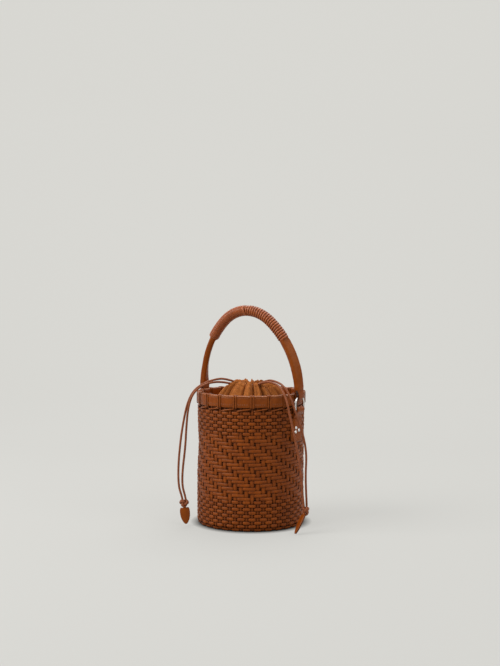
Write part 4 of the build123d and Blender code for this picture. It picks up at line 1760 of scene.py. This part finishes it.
        def tucked(u: Array, v: Array) -> Array:
            """How dark each point is, from 0 to 1: darker towards the outer cut edge, with a faint rise along the sewn
            line.
            """
            edge = to_edge(u, v)
            return np.clip(0.8 * rising(edge, 0.93, 0.07) + 0.3 * hump(edge, self.sewn_line, 0.03), 0, 1)

        piece = shaped_grid("anchor_patch_leather", 64, 72, surface, marks={"tucked": tucked})
        thicken(piece, self.patch_thickness, -1.0, 0.3 * MM)
        return smooth(dress(piece, palette.smooth), 50)

    def patch_stitches(self, palette: Palette) -> Piece:
        """The line of stitches inside the patch's edge, on the right side."""
        side = self.sewn_line * self.patch_half
        rise = self.sewn_line * (self.patch_top - self.patch_bottom) / 2
        middle = (self.patch_top + self.patch_bottom) / 2
        pieces = []
        corners = [(-side, -rise), (side, -rise), (side, rise), (-side, rise)]
        for (y0, z0), (y1, z1) in zip(corners, corners[1:] + corners[:1]):
            count = round(math.hypot(y1 - y0, z1 - z0) / self.stitch_pitch)
            for number in range(count):
                share = (number + 0.5) / count
                across, height = y0 + (y1 - y0) * share, z0 + (z1 - z0) * share
                pieces.append(self.one_stitch(across, middle + height, math.atan2(z1 - z0, y1 - y0)))
        return smooth(dress(join(pieces, "patch_stitches"), palette.thread), 60)

    def one_stitch(self, across: float, height: float, slant: float) -> Piece:
        """One stitch lying on the patch."""
        radius = self.wall + self.patch_lift(across) + 0.1 * MM

        def surface(u: Array, v: Array) -> Array:
            """The points, in metres."""
            aside, out = stitch_section(u, v, self.thread_radius, 0.05)
            along = self.stitch_length * (u - 0.5)
            y = across + along * math.cos(slant) - aside * math.sin(slant)
            z = height + along * math.sin(slant) + aside * math.cos(slant)
            return polar(radius + out - 0.25 * MM * (2 * u - 1) ** 2, y / self.patch_radius, z)

        return shaped_grid("stitch", 4, 6, surface, False, True, True)

    def rivets(self, palette: Palette) -> Piece:
        """The three domed rivets of the right side, with the burrs inside the wall."""
        pieces = []
        for across, below in self.rivet_places:
            turn = across * MM / self.patch_radius
            height = self.patch_top - below * MM
            deselect()
            bpy.ops.mesh.primitive_uv_sphere_add(segments=24, ring_count=14, radius=self.rivet_radius)
            dome = bpy.context.object
            dome.scale = (self.rivet_flatness, 1, 1)
            dome.rotation_euler = (0, 0, turn)
            outward = Vector((math.cos(turn), math.sin(turn), 0))
            dome.location = outward * self.patch_radius + Vector((0, 0, height))
            pieces.append(apply_place(dome))
            deselect()
            size = {"radius": self.burr_radius, "depth": self.burr_thickness}
            bpy.ops.mesh.primitive_cylinder_add(vertices=20, **size)
            burr = bpy.context.object
            burr.rotation_euler = (0, math.pi / 2, turn)
            burr.location = outward * self.burr_distance + Vector((0, 0, height))
            pieces.append(apply_place(burr))
        return smooth(dress(join(pieces, "rivets"), palette.metal), 40)

    def build(self, palette: Palette) -> None:
        """Make both sides: the left one is the right one turned round."""
        for side, turn in (("right", 0.0), ("left", 180.0)):
            parts = (
                (self.ring, f"d_ring_{side}", f"ring_{side}", "hardware", f"ring_{side}"),
                (self.strap, f"ring_strap_{side}", "bag", "smooth_leather", f"chape_{side}"),
                (self.patch, f"anchor_patch_leather_{side}", "bag", "smooth_leather", f"anchor_patch_{side}"),
                (self.patch_stitches, f"patch_stitches_{side}", "bag", "smooth_leather"),
                (self.rivets, f"rivets_{side}_heads", "bag", "hardware", f"rivets_{side}"),
            )
            for make, name, body, slot, *nodes in parts:
                piece = make(palette)
                piece.name = name
                piece.data.transform(Matrix.Rotation(math.radians(turn), 4, "Z"))
                settle(piece, body, slot, *nodes)


# ---- Drawstrings ----
@dataclass(frozen=True)
class DrawstringEnd:
    """One free end of a drawstring."""

    name: str
    length: float
    route: tuple[Triple, ...]

    def curve(self, diameter: float) -> Piece:
        """The round leather cord, as a smooth spline.

        Args:
            diameter: The cord's diameter, in metres.
        Returns:
            The curve.
        """
        data = bpy.data.curves.new(f"{self.name}_leather", "CURVE")
        data.dimensions = "3D"
        spline = data.splines.new("NURBS")
        spline.points.add(len(self.route) - 1)
        for point, place in zip(spline.points, self.route):
            point.co = (*place, 1)
        spline.order_u = 3
        spline.use_endpoint_u = True
        spline.resolution_u = 12
        data.bevel_depth = diameter / 2
        data.bevel_resolution = 4
        data.use_fill_caps = True
        piece = bpy.data.objects.new(f"{self.name}_leather", data)
        bpy.context.collection.objects.link(piece)
        return piece


@dataclass
class Drawstrings:
    """The four cord ends that hang from the neck, their knots and their leather tabs."""

    diameter: float = 3.0 * MM
    casing_radius: float = 17.5 * MM
    casing_heights: tuple[tuple[str, float], ...] = (("left", 193.0 * MM), ("right", 187.9 * MM))
    knot_centres: tuple[tuple[str, Triple], ...] = (
        ("left", (-0.0563, -0.0808, 0.0320)),
        ("right", (0.1032, -0.0204, 0.0300)),
    )
    tab_turns: tuple[tuple[str, Triple], ...] = (
        ("left", (0.0, -7.0, 35.0)),
        ("right", (-33.8, 7.2, -35.0)),
    )
    strand: float = 1.55 * MM
    tab_top: float = -6.2 * MM
    tab_lengths: tuple[tuple[str, float], ...] = (("left", 22.8 * MM), ("right", 28.5 * MM))
    tab_half: float = 6.9 * MM
    tab_thickness: float = 2.9 * MM
    tab_outline: tuple[Pair, ...] = (
        (0.0, 0.78), (0.05, 0.90), (0.16, 0.98), (0.30, 1.0), (0.5, 0.95),
        (0.72, 0.76), (0.88, 0.50), (0.96, 0.30), (1.0, 0.12),
    )
    ends: tuple[DrawstringEnd, ...] = (
        DrawstringEnd(
            "cord_left_rear",
            0.2195,
            (
                (-0.0174, -0.0166, 0.1972), (-0.0270, -0.0274, 0.2024), (-0.0356, -0.0410, 0.2004),
                (-0.0430, -0.0546, 0.1960), (-0.0496, -0.0676, 0.1870), (-0.0542, -0.0754, 0.1706),
                (-0.0576, -0.0796, 0.1466), (-0.0606, -0.0827, 0.1199), (-0.0630, -0.0850, 0.0840),
                (-0.0626, -0.0852, 0.0560), (-0.0594, -0.0824, 0.0420), (-0.0580, -0.0816, 0.0356),
            ),
        ),
        DrawstringEnd(
            "cord_left_front",
            0.2165,
            (
                (-0.0146, -0.0200, 0.1938), (-0.0234, -0.0338, 0.1978), (-0.0316, -0.0486, 0.1980),
                (-0.0384, -0.0634, 0.1944), (-0.0454, -0.0754, 0.1834), (-0.0506, -0.0786, 0.1644),
                (-0.0536, -0.0786, 0.1384), (-0.0554, -0.0789, 0.1084), (-0.0584, -0.0814, 0.0778),
                (-0.0586, -0.0820, 0.0560), (-0.0554, -0.0800, 0.0426), (-0.0542, -0.0794, 0.0360),
            ),
        ),
        DrawstringEnd(
            "cord_right_front",
            0.2227,
            (
                (0.0176, -0.0126, 0.1934), (0.0344, -0.0174, 0.1996), (0.0524, -0.0234, 0.2000),
                (0.0694, -0.0294, 0.1950), (0.0814, -0.0336, 0.1796), (0.0880, -0.0334, 0.1520),
                (0.0945, -0.0315, 0.1240), (0.0994, -0.0286, 0.0945), (0.1018, -0.0266, 0.0653),
                (0.1014, -0.0236, 0.0430), (0.1022, -0.0222, 0.0346),
            ),
        ),
        DrawstringEnd(
            "cord_right_rear",
            0.2251,
            (
                (0.0178, -0.0062, 0.1950), (0.0348, -0.0108, 0.2018), (0.0528, -0.0158, 0.2010),
                (0.0700, -0.0214, 0.1954), (0.0830, -0.0256, 0.1810), (0.0916, -0.0244, 0.1574),
                (0.0986, -0.0194, 0.1327), (0.1026, -0.0166, 0.1065), (0.1016, -0.0176, 0.0790),
                (0.1028, -0.0182, 0.0550), (0.1036, -0.0180, 0.0420), (0.1038, -0.0182, 0.0346),
            ),
        ),
    )

    def casing(self, side: str, height: float, palette: Palette) -> Piece:
        """The stretch of one drawstring inside the casing."""
        deselect()
        radii = {"major_radius": self.casing_radius, "minor_radius": self.diameter / 2}
        bpy.ops.mesh.primitive_torus_add(major_segments=72, minor_segments=12, **radii)
        piece = bpy.context.object
        piece.name = f"casing_cord_{side}_leather"
        piece.location.z = height
        return smooth(dress(apply_place(piece), palette.cord), 60)

    def knot(self, side: str, centre: Triple, palette: Palette) -> Piece:
        """Both cords of one side tied in a single overhand knot.

        Args:
            side: "left" or "right".
            centre: The knot's middle, in metres.
            palette: The bag's finishes.
        Returns:
            The knot.
        """
        sizes, turn = {"left": ((1.75, 1.45, 1.45), 35.0), "right": ((1.60, 1.60, 1.85), -20.0)}[side]
        pieces = []
        for offset in (-0.5, 0.5):

            def line(u: Array) -> Array:
                """The knot's middle line, in metres."""
                t = math.tau * u
                across = np.sin(t) + 2 * np.sin(2 * t)
                up = np.cos(t) - 2 * np.cos(2 * t)
                deep = -1.15 * np.sin(3 * t)
                return stack(across * sizes[0], deep * sizes[1], up * sizes[2]) * MM

            def surface(u: Array, v: Array) -> Array:
                """The points, in metres."""
                step = 1e-3
                middle = line(u)
                along = unit(line(u + step) - line(u - step))
                outward = unit(middle)
                side_way = unit(np.cross(along, outward))
                out = np.cross(side_way, along)
                around = math.tau * v
                middle = middle + side_way * offset * 2.1 * MM
                return (
                    middle
                    + self.strand * np.cos(around)[:, None] * side_way
                    + self.strand * np.sin(around)[:, None] * out
                )

            pieces.append(shaped_grid("strand", 110, 12, surface, True, True))
        piece = join(pieces, f"knot_{side}_leather")
        piece.data.transform(Matrix.Translation(centre) @ Matrix.Rotation(math.radians(turn), 4, "Z"))
        return smooth(dress(piece, palette.cord), 60)

    def tab(self, side: str, centre: Triple, palette: Palette) -> Piece:
        """The arrow-shaped leather tab below a knot.

        Args:
            side: "left" or "right".
            centre: The knot's middle, in metres.
            palette: The bag's finishes.
        Returns:
            The tab, with the short neck of cord that holds it.
        """
        length = dict(self.tab_lengths)[side]

        def surface(u: Array, v: Array) -> Array:
            """The points, in metres."""
            a = 2 * u - 1
            half = np.interp(v, *zip(*self.tab_outline))
            falling = rising(to_edge(u, v), 0.86, 0.14) ** 2
            curl = 1.0 * MM * (v - 0.3) ** 2 + 0.5 * MM * np.abs(a) ** 2
            depth = -self.tab_thickness / 2 + 0.5 * MM * falling + curl
            return stack(self.tab_half * half * a, depth, self.tab_top - length * v)

        def tucked(u: Array, v: Array) -> Array:
            """How dark each point is, from 0 to 1: darker towards the cut edge."""
            return 0.8 * rising(to_edge(u, v), 0.88, 0.12)

        leaf = shaped_grid("leaf", 20, 34, surface, marks={"tucked": tucked})
        thicken(leaf, self.tab_thickness, -1.0, 0.35 * MM)

        def neck_surface(u: Array, v: Array) -> Array:
            """The neck's points, in metres."""
            around = math.tau * v
            radius = 2.3 * MM * (1 - 0.25 * u)
            x, y = radius * np.cos(around), 0.75 * radius * np.sin(around)
            return stack(x, y, self.tab_top + 3.2 * MM - 6.6 * MM * u)

        # The neck is darkened a little all over by the same mark.
        marks = {"tucked": lambda u, v: np.full_like(u, 0.4)}
        neck = shaped_grid("neck", 10, 14, neck_surface, False, True, True, marks)
        piece = join([leaf, neck], f"tab_{side}_leather")
        place = Matrix.Translation(centre)
        for angle, axis in zip(dict(self.tab_turns)[side], "XYZ"):
            place = place @ Matrix.Rotation(math.radians(angle), 4, axis)
        piece.data.transform(place)
        return smooth(dress(piece, palette.smooth), 50)

    def build(self, palette: Palette) -> None:
        """Make the drawstrings and declare their free ends."""
        for side, height in self.casing_heights:
            settle(self.casing(side, height, palette), "bag", "cord", f"casing_cord_{side}")
        hardware = {}
        for side, centre in self.knot_centres:
            knot = settle(self.knot(side, centre, palette), "bag", "cord", f"knot_{side}")
            tab = settle(self.tab(side, centre, palette), "bag", "smooth_leather", f"tab_{side}")
            hardware[side] = [knot, tab]
        for end in self.ends:
            piece = dress(end.curve(self.diameter), palette.cord)
            settle(piece, "bag", "cord", end.name)
            side = "left" if "left" in end.name else "right"
            with_pieces = hardware[side] if end.name in ("cord_left_front", "cord_right_front") else []
            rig.cord(
                piece,
                exit=end.route[0],
                length=end.length,
                diameter=self.diameter,
                far_end="knot",
                stiffness="medium",
                lay="hanging",
                with_pieces=with_pieces,
            )


# ---- Studio ----
@dataclass
class Studio:
    """A pale curved backdrop, soft lamps and the camera."""

    azimuth: float = 35.0
    distance: float = 1.6
    eye_height: float = 0.344
    pitch: float = 2.83
    lens: float = 82.47
    sensor: float = 36.0
    shift: float = -0.00226
    paper_length: float = 9.0
    paper_start: float = -3.6
    paper_flat: float = 2.2
    paper_bend: float = 1.2
    lamps: tuple[tuple[str, float, float, float, float, float], ...] = (
        ("key_lamp", -70, 38, 2.2, 1.5, 48),
        ("fill_lamp", 48, 35, 2.4, 1.8, 22),
        ("top_lamp", 165, 66, 2.2, 2.0, 46),
    )
    paper: Colour = (0.14, 0.139, 0.132)
    # A painted contact shadow: the paper's glow fades to black within these distances from the bag's axis, in metres.
    dark_ring: Pair = (0.073, 0.086)
    air: Colour = (0.97, 0.98, 1.0)
    air_strength: float = 0.45
    glow: Colour = (0.686, 0.679, 0.645)
    glow_shares: tuple[Pair, ...] = (
        (-0.59, 0.643), (0.00, 0.646), (0.66, 0.648), (1.13, 0.684), (1.58, 0.727), (1.86, 0.758),
        (2.19, 0.787), (2.62, 0.805), (2.86, 0.814), (3.38, 0.836), (3.90, 0.857), (4.38, 0.864),
    )

    def camera(self) -> None:
        """Set the camera up."""
        data = bpy.data.cameras.new("camera")
        data.lens = self.lens
        data.sensor_width = self.sensor
        data.sensor_fit = "HORIZONTAL"
        data.shift_x = self.shift
        camera = bpy.data.objects.new("camera", data)
        bpy.context.collection.objects.link(camera)
        turn = math.radians(self.azimuth)
        camera.location = (self.distance * math.sin(turn), -self.distance * math.cos(turn), self.eye_height)
        camera.rotation_euler = (math.radians(90 - self.pitch), 0, turn)
        bpy.context.scene.camera = camera

    def backdrop(self) -> None:
        """Lay the floor, which curves up behind the bag."""
        turn = math.radians(self.azimuth)

        def surface(u: Array, v: Array) -> Array:
            """The points, in metres."""
            across = (u - 0.5) * self.paper_length
            run = self.paper_start + self.paper_length * v
            bend, far = self.paper_bend, self.paper_flat
            angle = np.clip((run - far) / bend, 0, math.pi / 2)
            beyond = np.maximum(run - far - bend * math.pi / 2, 0)
            depth = np.minimum(run, far) + bend * np.sin(angle)
            height = bend * (1 - np.cos(angle)) + beyond
            x = across * math.cos(turn) - depth * math.sin(turn)
            y = across * math.sin(turn) + depth * math.cos(turn)
            return stack(x, y, height)

        def glow_share(u: Array, v: Array) -> Array:
            """How strongly the paper glows."""
            runs, shares = zip(*self.glow_shares)
            return np.interp(self.paper_start + self.paper_length * v, runs, shares)

        floor = shaped_grid("studio_floor", 8, 90, surface, marks={"glow_share": glow_share})
        shader = Shader("studio_paper")
        black = (0.0, 0.0, 0.0)
        glow = shader.mix(shader.mark("glow_share"), black, self.glow)
        # Painted contact shadow: no glow under the bag and in a thin ring round its foot.
        glow = shader.mix(shader.near_axis(*self.dark_ring), black, glow)
        paper = shader.finish(
            Base_Color=self.paper,
            Roughness=1.0,
            Specular_IOR_Level=0.0,
            Emission_Color=glow,
            Emission_Strength=1.0,
        )
        dress(floor, paper)
        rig.stage(smooth(floor, 30))

    @staticmethod
    def lamp(name: str, azimuth: float, elevation: float, far: float, size: float, power: float) -> None:
        """Hang one soft lamp that faces the bag.

        Args:
            name: The lamp's name.
            azimuth: Where it stands, in degrees round the bag, measured as the camera's is.
            elevation: How high it stands, in degrees.
            far: Its distance, in metres.
            size: The side of its square, in metres.
            power: Its power, in watts.
        """
        data = bpy.data.lights.new(name, "AREA")
        data.shape = "SQUARE"
        data.size = size
        data.energy = power
        lamp = bpy.data.objects.new(name, data)
        bpy.context.collection.objects.link(lamp)
        turn, rise = math.radians(azimuth), math.radians(elevation)
        flat = math.cos(rise)
        place = Vector((math.sin(turn) * flat, -math.cos(turn) * flat, math.sin(rise))) * far
        lamp.location = place + Vector((0, 0, 0.12))
        lamp.rotation_euler = (-place).to_track_quat("-Z", "Y").to_euler()

    def build(self) -> None:
        """Set up the whole studio."""
        self.camera()
        self.backdrop()
        for name, turn, *setting in self.lamps:
            self.lamp(name, self.azimuth + turn, *setting)
        world = bpy.data.worlds.new("studio_air")
        world.use_nodes = True
        background = world.node_tree.nodes["Background"]
        background.inputs["Color"].default_value = (*self.air, 1)
        background.inputs["Strength"].default_value = self.air_strength
        bpy.context.scene.world = world
        bpy.context.scene.view_settings.view_transform = "Standard"


# ---- Build ----
def hide_board(palette: Palette) -> None:
    """Give the hidden base board its finish."""
    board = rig.box("base_board")
    low, high = Vector(board[0]), Vector(board[1])
    deselect()
    bpy.ops.mesh.primitive_cylinder_add(vertices=96, radius=(high.x - low.x) / 2, depth=high.z - low.z)
    piece = bpy.context.object
    piece.name = "base_board_card"
    piece.location = (low + high) / 2
    apply_place(piece)
    settle(smooth(dress(piece, palette.thread)), "bag", "board", "base_board")


def main() -> None:
    """Build the bag's looks and the studio."""
    logging.basicConfig(level=logging.INFO, format="%(message)s")
    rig.load()
    cad_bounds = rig.bounds()
    palette = Palette()
    WovenShell().build(palette)
    Rim().build(palette)
    Base().build(palette)
    hide_board(palette)
    Pouch().build(palette)
    Handle().build(palette)
    Hardware().build(palette)
    Drawstrings().build(palette)
    Studio().build()
    sizes = {"cad": [list(corner) for corner in cad_bounds], "visual": [list(corner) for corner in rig.bounds()]}
    with open("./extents.json", "w", encoding="utf-8") as file:
        json.dump(sizes, file)


if __name__ == "__main__":
    main()
